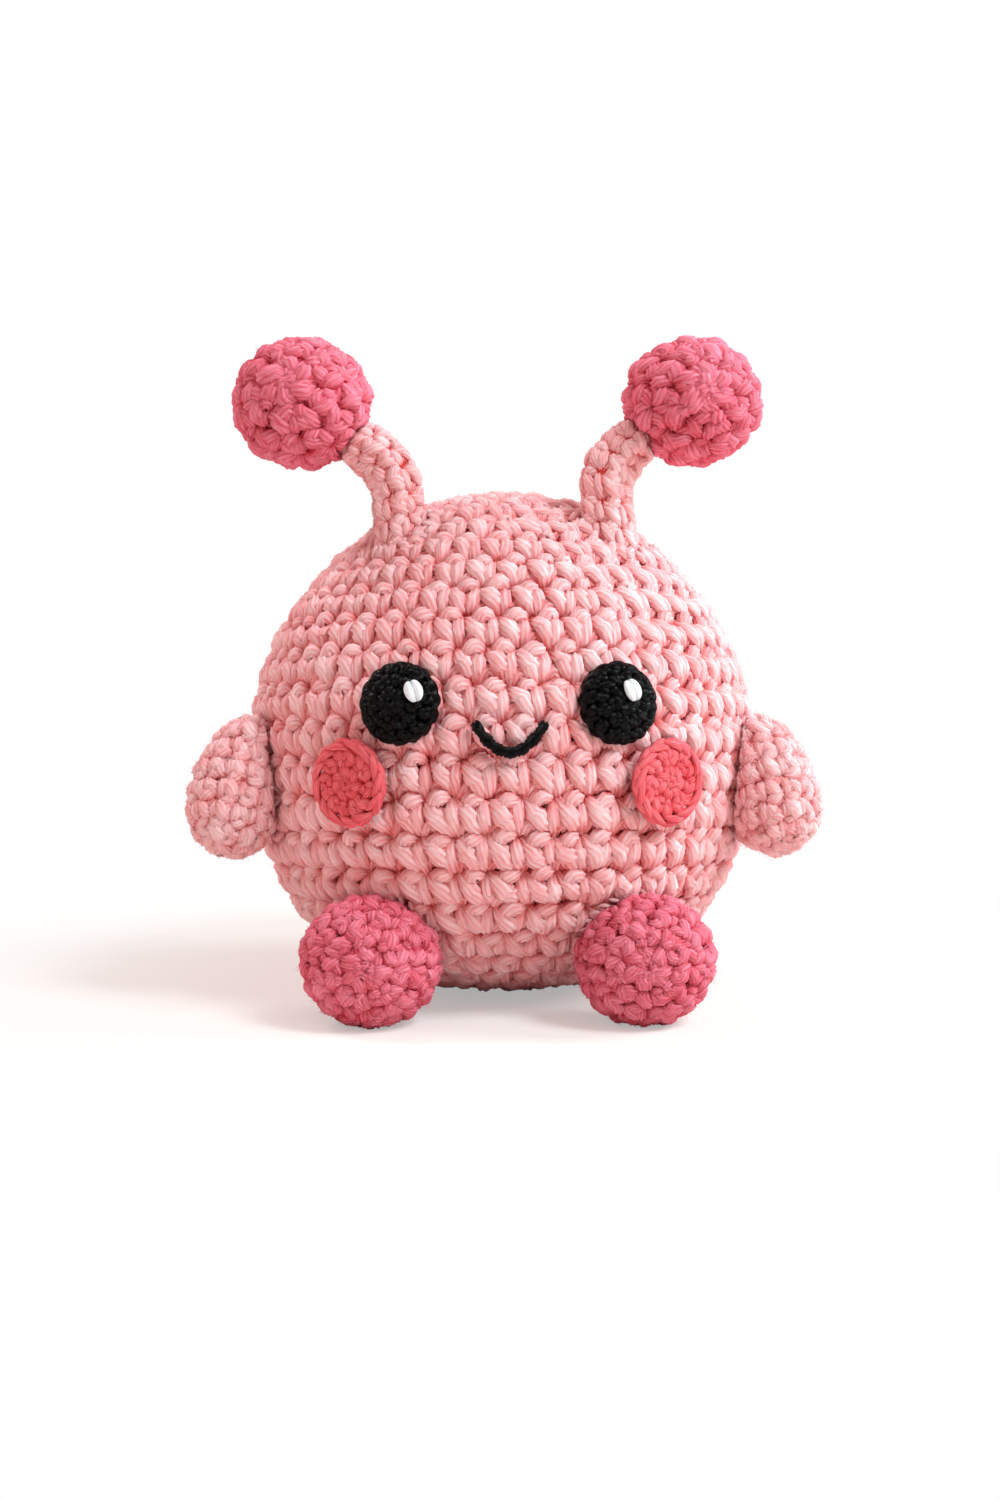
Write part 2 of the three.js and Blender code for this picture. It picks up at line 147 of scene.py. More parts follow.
def turned_about(points, pivot, axis, angle):
    axis = unit(np.asarray(axis, float))
    arm = points - pivot
    along = (arm @ axis)[..., None] * axis
    return pivot + along + (arm - along) * math.cos(angle) + np.cross(axis, arm) * math.sin(angle)


def body_reach(points):
    """Points in the body's own frame, and the radius of the body of its form on which each lies."""
    own = unleaned(points - BODY_CENTRE)
    power = fullness(own[..., 2])
    across = np.hypot(own[..., 0], own[..., 1])
    return own, (across**power + np.abs(own[..., 2]) ** power) ** (1 / power)


def pushed_off_body(points, gap):
    """Points that lie in the body are moved out to a gap from its surface."""
    own, reach = body_reach(points)
    lift = np.maximum(1, (BODY_RADIUS + gap) / np.maximum(reach, TINY))
    return BODY_CENTRE + leaned(own * lift[..., None])


def body_depth(points):
    """How deep points lie under the body's surface."""
    return BODY_RADIUS - body_reach(points)[1]


def above_floor(points):
    """Points under the toy's resting plane are pressed flat onto it."""
    flat = points.copy()
    flat[..., 2] = np.maximum(flat[..., 2], FLOOR_CLEARANCE)
    return flat


class Form:
    """A round form about a middle line. A place on it is a length down its outline and a turn."""

    def __init__(self, outline, line):
        self.radius, self.height = np.asarray(outline, float).T
        steps = np.hypot(np.diff(self.radius), np.diff(self.height))
        self.length = np.concatenate([[0], np.cumsum(steps)])
        along_radius = np.gradient(self.radius, self.length)
        along_height = np.gradient(self.height, self.length)
        size = np.hypot(along_radius, along_height)
        self.out_radius, self.out_height = -along_height / size, along_radius / size
        self.line = line

    def read(self, length, values):
        return np.interp(length, self.length, values)

    def at(self, length, turn, out):
        """Places and outward directions. A turn of 0 faces the form's forward direction."""
        out_radius, out_height = self.read(length, self.out_radius), self.read(length, self.out_height)
        radius = self.read(length, self.radius) + out * out_radius
        height = self.read(length, self.height) + out * out_height
        middle, forward, side, along = self.line(height)
        spoke = np.cos(turn)[..., None] * forward + np.sin(turn)[..., None] * side
        normal = out_radius[..., None] * spoke + out_height[..., None] * along
        return middle + radius[..., None] * spoke, unit(normal)


def aimed_form(outline, origin, axis, upwards):
    """A form about a straight line. Turns start on the side that upwards names."""
    axis = unit(np.asarray(axis, float))
    forward = unit(upwards - axis * (axis @ upwards))
    side = np.cross(axis, forward)

    def line(height):
        return origin + height[..., None] * axis, forward, side, axis

    return Form(outline, line)


def bent_form(outline, points, side):
    """A form about a line through points in the plane square to side, straight beyond its ends."""
    steps = np.linalg.norm(np.diff(points, axis=0), axis=1)
    heights = np.concatenate([[0], np.cumsum(steps)])
    tangents = unit(np.gradient(points, heights, axis=0))

    def line(height):
        inside = np.clip(height, 0, heights[-1])
        middle = np.stack([np.interp(inside, heights, points[:, axis]) for axis in range(3)], -1)
        along = unit(np.stack([np.interp(inside, heights, tangents[:, axis]) for axis in range(3)], -1))
        middle = middle + (height - inside)[..., None] * along
        return middle, np.cross(side, along), side, along

    return Form(outline, line)


def arc(across, along, start=0.0, stop=math.pi / 2, samples=48):
    """Part of an ellipse, as radii and heights. Its angles start at the upper pole."""
    angle = np.linspace(start, stop, samples)
    return np.stack([across * np.sin(angle), along * np.cos(angle)], -1)


def body_outline(samples=400):
    angle = np.linspace(math.pi / 2, -math.pi / 2, samples)
    power = 2 / fullness(angle)
    across = np.abs(np.cos(angle)) ** power
    along = np.sign(angle) * np.abs(np.sin(angle)) ** power
    return BODY_RADIUS * np.stack([across, along], -1)


def pear_outline(tip_distance, samples=48):
    """An arm from the pole of its hand to its shoulder end, as heights above the shoulder's middle."""
    corners = np.array([
        [HAND_RADIUS, tip_distance],
        [HAND_RADIUS, tip_distance - ARM_SWELL_LENGTH],
        [SHOULDER_RADIUS, ARM_NECK_LENGTH],
        [SHOULDER_RADIUS, 0],
    ])
    share = np.linspace(0, 1, samples)
    rest = 1 - share
    middle = np.stack([rest**3, 3 * rest**2 * share, 3 * rest * share**2, share**3], -1) @ corners
    hand = arc(HAND_RADIUS, HAND_RADIUS) + [0, tip_distance]
    shoulder = arc(SHOULDER_RADIUS, SHOULDER_RADIUS, math.pi / 2, math.pi)
    return np.concatenate([hand, middle[1:], shoulder[1:]])


def smooth_weights(knots, samples):
    """Weights that turn control values into samples on a smooth curve through them."""
    weights = np.zeros((samples, knots))
    for row, place in enumerate(np.linspace(0, knots - 1, samples)):
        first = min(int(place), knots - 2)
        t = place - first
        parts = (
            -0.5 * t + t * t - 0.5 * t**3,
            1 - 2.5 * t * t + 1.5 * t**3,
            0.5 * t + 2 * t * t - 1.5 * t**3,
            -0.5 * t * t + 0.5 * t**3,
        )
        for offset, part in zip((-1, 0, 1, 2), parts):
            weights[row, min(max(first + offset, 0), knots - 1)] += part
    return weights


PLIES = 9
TILE_MARGIN = 0.06


def tube_faces(steps, around):
    """A closed tube's sides and ends: the corners of their faces, and the step and place round of each."""
    step, spin = np.meshgrid(np.arange(steps - 1), np.arange(around), indexing="ij")
    rows = np.stack([step, step, step + 1, step + 1], -1).reshape(-1, 4)
    spins = np.stack([spin, spin + 1, spin + 1, spin], -1).reshape(-1, 4)
    spin = np.arange(around)
    faces, lays = [], []
    for row, beyond, pair in ((0, -0.6, (spin + 1, spin)), (steps - 1, steps - 0.4, (spin, spin + 1))):
        tip = np.full(around, steps * around + (row > 0))
        faces.append(np.stack([tip, *(row * around + place % around for place in pair)], -1))
        places = np.stack([spin + 0.5, *pair], -1)
        lays.append(np.stack(np.broadcast_arrays([beyond, row, row], places), -1))
    sides = rows * around + spins % around, np.stack([rows, spins], -1)
    return sides, (np.concatenate(faces), np.concatenate(lays))


class Yarn:
    """Strands of yarn that become one mesh, with their map, tints and depths."""

    def __init__(self):
        self.batches = []
        self.roots = []

    def strands(self, middle, outward, width, height, turns, plies=PLIES, groove=0.2, tint=0.5, depth=0.0,
                size=2.0):
        """Adds strands. middle holds places along each one, width and height the half sizes of its section,
        and depth how far it lies under the outermost yarn, as a share of size."""
        count, steps = middle.shape[:2]
        width, height, turns = (np.atleast_2d(value)[..., None] for value in (width, height, turns))
        around = 2 * plies if plies else 4
        along = unit(np.gradient(middle, axis=1))
        side = unit(np.cross(along, outward))
        raised = np.cross(side, along)
        angle = np.arange(around) * TURN / around + TURN * turns
        swell = np.where(np.arange(around) % 2 == 0, 1.0, 1 - groove) if plies else np.ones(around)
        across = (width * swell * np.cos(angle))[..., None] * side[:, :, None]
        up = (height * swell * np.sin(angle))[..., None] * raised[:, :, None]
        ring = middle[:, :, None] + across + up
        depth = np.broadcast_to(depth, (count, steps))
        self.batches.append({
            "ring": ring,
            "ends": middle[:, [0, -1]],
            "tint": np.broadcast_to(tint, count),
            "level": depth[..., None] - height * swell * np.sin(angle) / size,
            "end_level": depth[:, [0, -1]],
            "length": np.linalg.norm(np.diff(middle, axis=1), axis=2).sum(1),
        })
        return ring, unit(across + up)

    def settle(self, *moves):
        """Moves every corner by functions, such as one that presses them off a neighbour."""
        for move in moves:
            for batch in self.batches:
                batch["ring"] = move(batch["ring"])
                batch["ends"] = move(batch["ends"])
            self.roots = [(move(places), directions) for places, directions in self.roots]

    def mesh(self, name):
        """One closed tube for each strand. The map gives each a tile of its own."""
        columns = math.ceil(math.sqrt(sum(len(batch["ring"]) for batch in self.batches)))
        verts, corners, sizes, tiles, lays, tints, levels = [], [], [], [], [], [], []
        first_vert, first_strand = 0, 0
        for batch in self.batches:
            count, steps, around = batch["ring"].shape[:3]
            per = steps * around + 2
            ring, level = batch["ring"].reshape(count, -1, 3), batch["level"].reshape(count, -1)
            verts.append(np.concatenate([ring, batch["ends"]], 1).reshape(-1, 3))
            tints.append(np.repeat(batch["tint"], per))
            levels.append(np.concatenate([level, batch["end_level"]], 1).ravel())
            base = first_vert + per * np.arange(count)[:, None, None]
            strand = first_strand + np.arange(count)
            tile = np.stack([strand % columns, strand // columns], -1)[:, None, None]
            for faces, lay in tube_faces(steps, around):
                corners.append((base + faces).reshape(-1))
                sizes.append(np.full(count * len(faces), faces.shape[1]))
                share = (lay + [0.8, 0]) / [steps + 0.6, around]
                inner = TILE_MARGIN + (1 - 2 * TILE_MARGIN) * share
                tiles.append(((tile + inner) / columns).reshape(-1, 2))
                run = lay[..., 0] / (steps - 1) * batch["length"][:, None, None]
                across = np.broadcast_to(lay[..., 1] / around, run.shape)
                lays.append(np.stack([across, run], -1).reshape(-1, 2))
            first_vert += count * per
            first_strand += count
        return build_mesh(
            name,
            np.concatenate(verts),
            np.concatenate(corners),
            np.concatenate(sizes),
            {"OFBake": np.concatenate(tiles), "Strand": np.concatenate(lays)},
            {"tint": np.concatenate(tints), "level": np.concatenate(levels)},
        )


def placed(name, data):
    """A new object of the scene."""
    made = bpy.data.objects.new(name, data)
    bpy.context.scene.collection.objects.link(made)
    return made


def finish_mesh(mesh, values):
    """Gives a mesh a value of each kind at its corners, and smooth faces."""
    for attribute, numbers in values.items():
        data = mesh.attributes.new(attribute, "FLOAT", "POINT").data
        data.foreach_set("value", numbers.astype(np.float32))
    mesh.polygons.foreach_set("use_smooth", np.ones(len(mesh.polygons), bool))


def build_mesh(name, verts, corners, sizes, maps, values):
    mesh = bpy.data.meshes.new(name)
    mesh.vertices.add(len(verts))
    mesh.vertices.foreach_set("co", (verts * MM).astype(np.float32).ravel())
    mesh.loops.add(len(corners))
    mesh.loops.foreach_set("vertex_index", corners.astype(np.int32))
    mesh.polygons.add(len(sizes))
    starts = np.concatenate([[0], np.cumsum(sizes)[:-1]])
    mesh.polygons.foreach_set("loop_start", starts.astype(np.int32))
    mesh.update(calc_edges=True)
    mesh.validate()
    for layer, places in maps.items():
        mesh.uv_layers.new(name=layer).uv.foreach_set("vector", places.astype(np.float32).ravel())
    finish_mesh(mesh, values)
    return placed(name, mesh)


# One stitch of single crochet in its cell, which spans from its own hole to the next one across, and from
# its ring of holes to the next ring down. Each row is a knot: across, down, rise, half width and half
# thickness, all but the first two as shares of the stitch's size.
STITCH = {
    "slanted_leg": [
        (0.08, 0.05, -0.44, 0.130, 0.12),
        (0.31, 0.24, -0.20, 0.245, 0.20),
        (0.56, 0.48, -0.12, 0.295, 0.23),
        (0.79, 0.75, -0.19, 0.245, 0.20),
        (0.93, 1.01, -0.42, 0.140, 0.13),
    ],
    "upright_leg": [
        (0.00, 0.07, -0.44, 0.120, 0.12),
        (-0.03, 0.28, -0.23, 0.220, 0.19),
        (-0.01, 0.52, -0.16, 0.260, 0.22),
        (0.03, 0.78, -0.22, 0.220, 0.19),
        (0.06, 1.02, -0.42, 0.140, 0.13),
    ],
    "cap": [
        (0.34, 0.37, -0.34, 0.155, 0.14),
        (0.46, 0.17, -0.20, 0.240, 0.20),
        (0.62, 0.05, -0.15, 0.275, 0.23),
        (0.80, 0.05, -0.20, 0.225, 0.19),
        (0.95, 0.13, -0.41, 0.120, 0.12),
    ],
    "back_loop": [
        (0.12, 1.08, -0.43, 0.170, 0.15),
        (0.22, 0.84, -0.31, 0.230, 0.19),
        (0.38, 0.68, -0.28, 0.250, 0.20),
        (0.58, 0.82, -0.32, 0.225, 0.18),
        (0.74, 1.08, -0.44, 0.160, 0.14),
    ],
    "under_loop": [
        (0.50, 0.24, -0.47, 0.160, 0.14),
        (0.61, 0.35, -0.36, 0.205, 0.17),
        (0.74, 0.46, -0.34, 0.215, 0.17),
        (0.84, 0.58, -0.37, 0.195, 0.16),
        (0.93, 0.74, -0.46, 0.140, 0.13),
    ],
}
STITCH_STEPS = 9
SHARED_HOLE_SPREAD = 0.45
STITCH_SHIFT, KNOT_SHIFT, RISE_SHIFT, WIDTH_SPREAD = 0.022, 0.014, 0.018, 0.06
STRAND_TWIST = 0.14
HAIR_FACING, HAIR_SHARE = 0.35, 0.0035

# A hand's unevenness: waves round each ring of holes, each with its shift from ring to ring
UNEVENNESS = ((7, 2.4), (16, 3.9), (29, 5.1))
UNEVEN_TURN, UNEVEN_SAG = 0.04, 0.03


def unevenness(turn, ring):
    return sum(np.sin(waves * turn + shift * ring) for waves, shift in UNEVENNESS)


def crochet(rounds, form, rings, holes, keep=None, phase=0.0, drift=-0.2, puff=1.0, hairs=1.0, lift=0.0,
            loose=1.0):
    """Works rounds of single crochet on a form. rounds names the yarn of each round, rings the lengths at
    which the rings of holes lie, and holes how many each has. lift is a share of the stitch's size."""
    weights = smooth_weights(5, STITCH_STEPS)
    lifts = np.broadcast_to(lift, len(rounds))
    turn = phase
    for ring, yarn in enumerate(rounds):
        above, below = holes[ring], holes[ring + 1]
        count = max(above, below)
        turn_below = turn + drift * TURN / count
        edges = []
        for number, start, place in ((above, turn, ring), (below, turn_below, ring + 1)):
            shared = (np.arange(count) + 0.5) * number / count
            spread = (shared - np.floor(shared) - 0.5) * SHARED_HOLE_SPREAD
            edge = start + TURN * (np.floor(shared) + 0.5 + spread * (number < count)) / number
            edge = edge + UNEVEN_TURN * loose * unevenness(edge, place) * TURN / count
            edges.append(np.append(edge, edge[0] + TURN))
        high, low = edges
        tall = rings[ring + 1] - rings[ring]
        wide = TURN * max(form.read(rings[ring:ring + 2], form.radius)) / count
        size = math.sqrt(wide * tall)
        tint = dice.random(count)
        for part, knots in STITCH.items():
            if part == "back_loop" and ring == len(rounds) - 1:
                continue
            knot = np.tile(knots, (count, 1, 1))
            knot[..., :2] += loose * dice.normal(0, STITCH_SHIFT, (count, 1, 2))
            knot[:, 1:4, :2] += loose * dice.normal(0, KNOT_SHIFT, (count, 3, 2))
            knot[..., 2] += loose * dice.normal(0, RISE_SHIFT, (count, 1))
            knot[..., 3:] *= puff * (1 + loose * dice.normal(0, WIDTH_SPREAD, (count, 1, 1)))
            across, down, rise, width, thick = np.moveaxis(weights @ knot, -1, 0)
            left = (1 - down) * high[:-1, None] + down * low[:-1, None]
            right = (1 - down) * high[1:, None] + down * low[1:, None]
            place = left + across * (right - left)
            sag = UNEVEN_SAG * loose * unevenness(place + ring + down, 0)
            middle, outward = form.at(rings[ring] + (down + sag) * tall, place, (rise + lifts[ring]) * size)
            chosen = np.ones(count, bool) if keep is None else keep(middle[:, STITCH_STEPS // 2])
            if not chosen.any():
                continue
            twist = STRAND_TWIST * np.linspace(-1, 1, STITCH_STEPS) + dice.random((count, 1))
            surface, directions = yarn.strands(
                middle[chosen], outward[chosen], width[chosen] * size, thick[chosen] * size, twist[chosen],
                tint=0.7 * tint[chosen] + 0.3 * dice.random(chosen.sum()), depth=-rise[chosen], size=size,
            )
            facing = (directions * outward[chosen][:, :, None]).sum(-1) > HAIR_FACING
            picks = facing & (dice.random(facing.shape) < hairs * size**2 * HAIR_SHARE)
            picks[:, [0, -1]] = False
            yarn.roots.append((surface[picks], directions[picks]))
        turn = turn_below


def fuzz(yarn, name, length=0.7, thickness=0.018):
    """Loose curled fibres that stand off the yarn's surface, as one piece."""
    places, directions = (np.concatenate(parts) for parts in zip(*yarn.roots))
    count, steps = len(places), 5
    lean = unit(directions + dice.normal(0, 1.0, (count, 3)))
    curl = unit(np.cross(lean, dice.normal(0, 1, (count, 3))))
    reach = length * np.minimum(dice.lognormal(0, 0.4, (count, 1, 1)), 1.5)
    share = np.linspace(0, 1, steps)[None, :, None]
    bend = math.pi * (0.4 + 0.9 * dice.random((count, 1, 1)))
    middle = places[:, None] + reach / bend * (
        np.sin(bend * share) * lean[:, None] + (1 - np.cos(bend * share)) * curl[:, None]
    )
    slim = thickness * (1 - 0.7 * share[..., 0])
    hair = Yarn()
    hair.strands(middle, directions[:, None], slim, slim, 0.0, plies=0)
    hair.settle(above_floor)
    return hair.mesh(name)


def lining(form, name, rise, thickness, start, stop, around=64, rows=40, keep=None, settle=()):
    """The closed inner wall of a cover, with a stitch's waviness, open where keep says so. Its level gives
    it the painted shade of its yarn's gaps.
    """
    length = np.linspace(start, stop, rows)
    turn = np.linspace(0, TURN, around, endpoint=False)
    length, turn = np.meshgrid(length, turn, indexing="ij")
    ripple = 0.12 * np.sin(length * 2.7) * np.sin(turn * around / 4)
    outer = form.at(length, turn, rise + ripple)[0].reshape(-1, 3)
    inner = form.at(length, turn, rise - thickness)[0].reshape(-1, 3)
    faces, lay = (np.roll(part[:, ::-1], 1, 1) for part in tube_faces(rows, around)[0])
    tile = lay[..., ::-1] / [around, rows]
    if keep is not None:
        kept = keep(outer[faces].mean(1))
        faces, tile = faces[kept], tile[kept]
    shift = rows * around
    edges = np.stack([faces, np.roll(faces, -1, 1)], -1).reshape(-1, 2)
    known = set(map(tuple, edges))
    rim = np.array([edge for edge in map(tuple, edges) if edge[::-1] not in known])
    walls = np.stack([rim[:, 1], rim[:, 0], rim[:, 0] + shift, rim[:, 1] + shift], -1)
    quads = np.concatenate([faces, faces[:, ::-1] + shift, walls])
    strip = np.array([[0, 0], [0.9, 0], [0.9, 1], [0, 1]])
    strip = (np.arange(len(walls))[:, None, None] + strip) * [1, 0.02]
    places = np.concatenate([
        tile * [1, 0.46],
        tile[:, ::-1] * [1, 0.46] + [0, 0.48],
        strip / [len(walls), 1] + [0, 0.97],
    ]).reshape(-1, 2)
    used, corners = np.unique(quads, return_inverse=True)
    verts = np.concatenate([outer, inner])[used]
    for move in settle:
        verts = move(verts)
    return build_mesh(
        name,
        verts,
        corners.ravel(),
        np.full(len(quads), 4),
        {"OFBake": places, "Strand": places * 10},
        # A level of 0.34 gives the whole wall nearly all of its yarn's painted gap shade.
        {"tint": np.full(len(verts), 0.5), "level": np.full(len(verts), 0.34)},
    )


class Wire:
    """A shader socket that takes part in arithmetic."""

    def __init__(self, shader, socket):
        self.shader, self.socket = shader, socket

    def combined(self, operation, first, second):
        return self.shader.node("ShaderNodeMath", {"operation": operation}, {0: first, 1: second})

    def __add__(self, other):
        return self.combined("ADD", self, other)

    def __sub__(self, other):
        return self.combined("SUBTRACT", self, other)

    def __rsub__(self, other):
        return self.combined("SUBTRACT", other, self)

    def __mul__(self, other):
        return self.combined("MULTIPLY", self, other)

    __radd__, __rmul__ = __add__, __mul__


class Shader:
    """The nodes of a material or world, made one after another."""

    def __init__(self, holder):
        holder.use_nodes = True
        self.holder, self.tree = holder, holder.node_tree
        self.tree.nodes.clear()

    def node(self, kind, settings=None, inputs=None, output=0):
        made = self.tree.nodes.new(kind)
        for setting, value in (settings or {}).items():
            setattr(made, setting, value)
        for socket, value in (inputs or {}).items():
            if isinstance(value, Wire):
                self.tree.links.new(value.socket, made.inputs[socket])
            else:
                made.inputs[socket].default_value = value
        return Wire(self, made.outputs[output]) if len(made.outputs) else None

    def noise(self, places, scale):
        return self.node("ShaderNodeTexNoise", inputs={"Vector": places, "Scale": scale, "Detail": 2.0})

    def mottle(self):
        """Soft spots that stay in place on a piece."""
        return self.noise(self.node("ShaderNodeTexCoord", output=3), 330.0)

    def blend(self, factor, first, second):
        colours = {"Factor": factor, 6: first, 7: second}
        return self.node("ShaderNodeMix", {"data_type": "RGBA"}, colours, output=2)

    def ramp(self, value, low, high):
        """0 below low, 1 above high, and smooth in between."""
        inputs = {"Value": value, "From Min": low, "From Max": high}
        return self.node("ShaderNodeMapRange", {"interpolation_type": "SMOOTHSTEP"}, inputs)

    def finish(self, surface, output="ShaderNodeOutputMaterial"):
        self.node(output, inputs={"Surface": surface})
        return self.holder


def linear(colour):
    """A colour as it is seen, from 0 to 255, as the shader takes it."""
    parts = [value / 255 for value in colour]
    return *(part / 12.92 if part <= 0.04045 else ((part + 0.055) / 1.055) ** 2.4 for part in parts), 1


def yarn_material(name, colour, light, deep, roughness=0.6, gloss=0.0):
    """Spun yarn: plies and fine fibres along each strand, with painted highlights on their crests and
    painted shade in the gaps.
    """
    shader = Shader(bpy.data.materials.new(name))
    places = shader.node("ShaderNodeUVMap", {"uv_map": "Strand"})
    across = shader.node("ShaderNodeSeparateXYZ", inputs={0: places}, output=0)
    along = shader.node("ShaderNodeSeparateXYZ", inputs={0: places}, output=1)
    tint = shader.node("ShaderNodeAttribute", {"attribute_name": "tint"}, output=2)
    level = shader.node("ShaderNodeAttribute", {"attribute_name": "level"}, output=2)
    streaks = []
    for fineness, run in ((52, 0.9), (15, 0.5)):
        sockets = {0: across * fineness, 1: along * run, 2: tint * 40}
        noise = shader.noise(shader.node("ShaderNodeCombineXYZ", inputs=sockets), 1.0)
        streaks.append(shader.ramp(noise, 0.34, 0.68))
    fibre, lock = streaks
    wave = shader.node("ShaderNodeMath", {"operation": "COSINE"}, {0: across * (TURN * PLIES)})
    crest = wave * 0.5 + 0.5
    # Painted highlight: a strand is paler where it lies highest (top), and each ply a little paler on its
    # crest; the fibre, lock, tint and mottle streaks are the yarn's own tone.
    top = 1 - shader.ramp(level, -0.12, 0.18)
    streak = fibre * 0.32 + lock * 0.2 + (tint - 0.5) * 0.2 + (shader.mottle() - 0.5) * 0.5
    streaks_and_painted_highlight = shader.blend(top * 0.34 + crest * 0.1 + streak, linear(colour), linear(light))
    # Painted shade: the deep colour darkens the gaps between strands, more where they lie deeper, and the
    # grooves between plies.
    ply_groove_shade = shader.ramp(1 - crest, 0.7, 1.0)
    gap = shader.ramp(level, 0.03, 0.38) * 0.94 + ply_groove_shade * 0.16
    height = crest * 0.4 + fibre * 0.4 + lock * 0.2
    bump = shader.node("ShaderNodeBump", inputs={"Strength": 0.8, "Distance": 0.0001, "Height": height})
    return shader.finish(shader.node("ShaderNodeBsdfPrincipled", inputs={
        "Base Color": shader.blend(gap, streaks_and_painted_highlight, linear(deep)),
        "Roughness": roughness,
        "Normal": bump,
        "Specular IOR Level": gloss,
    }))


def fuzz_material(name, colour, light):
    """Single fibres, too fine to show plies: their colour varies from place to place alone."""
    shader = Shader(bpy.data.materials.new(name))
    return shader.finish(shader.node("ShaderNodeBsdfPrincipled", inputs={
        "Base Color": shader.blend(shader.ramp(shader.mottle(), 0.35, 0.65), linear(colour), linear(light)),
        "Roughness": 0.8,
        "Specular IOR Level": 0.0,
    }))


# Each yarn's own colour, its paler fibres and the highlight painted on its crests, and the shade painted in
# its gaps, and each fuzz's darker and lighter fibres
YARNS = {
    "pink_yarn": yarn_material("soft pink yarn", (238, 122, 124), (255, 222, 225), (204, 54, 50)),
    "rose_yarn": yarn_material("rose yarn", (202, 22, 44), (249, 150, 171), (104, 2, 10)),
    "coral_yarn": yarn_material("coral yarn", (222, 28, 42), (252, 134, 142), (156, 8, 22)),
    "black_yarn": yarn_material("black yarn", (1, 1, 1), (8, 7, 8), (1, 1, 1), 0.2, 0.12),
    "white_yarn": yarn_material("white satin yarn", (222, 222, 228), (246, 246, 250), (186, 186, 194), 0.4),
    "fibre_fill": yarn_material("fibre filling", (236, 233, 226), (250, 249, 245), (210, 205, 196), 0.8),
}
FUZZ = {
    "pink_yarn": fuzz_material("soft pink fuzz", (252, 196, 198), (255, 232, 233)),
    "rose_yarn": fuzz_material("rose fuzz", (236, 96, 118), (252, 160, 178)),
    "coral_yarn": fuzz_material("coral fuzz", (240, 96, 106), (252, 150, 156)),
    "black_yarn": fuzz_material("black fuzz", (20, 19, 21), (96, 92, 96)),
}


def dress(piece, body, slot, *nodes, looks=YARNS, bends=None):
    """Finishes a piece: gives it its slot's look and lets it ride on a body, or, when bend places are
    given, leaves it fixed where it is; and hides the parts it replaces.
    """
    piece.data.materials.append(looks[slot])
    if bends is None:
        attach(piece, body)
    else:
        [tuple(place * MM) for place in bends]
        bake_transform(piece)
    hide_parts(*nodes)
    return piece


def even_rounds(form, step, stitch, end=0.6, fewest=5):
    """Rings of holes at even steps down a form, with as many holes as stitches of one width need."""
    rings = np.linspace(end, form.length[-1] - end, round((form.length[-1] - 2 * end) / step) + 1)
    holes = np.round(TURN * form.read(rings, form.radius) / stitch).astype(int)
    return rings, np.maximum(holes, fewest)


def cover(node, form, rounds, slot, body_name, settle=(), keep=None, hair=0.9, lining_end=None, bends=None,
          **working):
    """The crochet cover of a limb: its stitches, its loose fibres and its inner wall."""
    rings, holes = rounds
    yarn = Yarn()
    crochet([yarn] * (len(rings) - 1), form, rings, holes, keep, **working)
    yarn.settle(*settle)
    stitches = dress(yarn.mesh(f"{node}_stitches"), body_name, slot, node, bends=bends)
    dress(fuzz(yarn, f"{node}_fuzz", hair), body_name, slot, node, looks=FUZZ, bends=bends)
    size = form.length[-1] / (len(rings) - 1)
    stop = form.length[-1] - 0.3 if lining_end is None else lining_end
    wall = lining(form, f"{node}_lining", -0.36 * size, 0.4, rings[0] * 0.8, stop, 40, 24, keep, settle)
    dress(wall, body_name, slot, node, bends=bends)
    return stitches


def whip_stitches(node, loop, outward, count, settle, width, slant, thick, bulge):
    """Short sewing stitches over a seam. loop holds its places, and outward is away from both sides."""
    picks = (np.arange(count) * len(loop) / count).astype(int)
    along = unit(np.roll(loop, -1, 0) - np.roll(loop, 1, 0))[picks]
    place, out = loop[picks], unit(outward[picks])
    across = unit(np.cross(along, out))
    share = np.linspace(-1, 1, 9)[None, :, None]
    jitter = 1 + dice.normal(0, 0.12, (count, 1, 1))
    middle = (
        place[:, None]
        + share * jitter * (0.5 * width * across + 0.5 * slant * along)[:, None]
        + (1 - share**2) * bulge * out[:, None]
    )
    size = thick * np.sqrt(1.05 - share[..., 0] ** 2)
    turns = 0.15 * share[..., 0] + dice.random((count, 1))
    yarn = Yarn()
    yarn.strands(middle, out[:, None], size, size, turns, plies=6)
    yarn.settle(*settle)
    dress(yarn.mesh(f"{node}_stitches"), "torso", "pink_yarn", node)


LONGEST_FIBRE, FIBRE_RADIUS = 2.4, 0.05


def corner_vectors(mesh, kind):
    values = np.empty(len(mesh.vertices) * 3, np.float32)
    mesh.vertices.foreach_get(kind, values)
    return values.reshape(-1, 3)


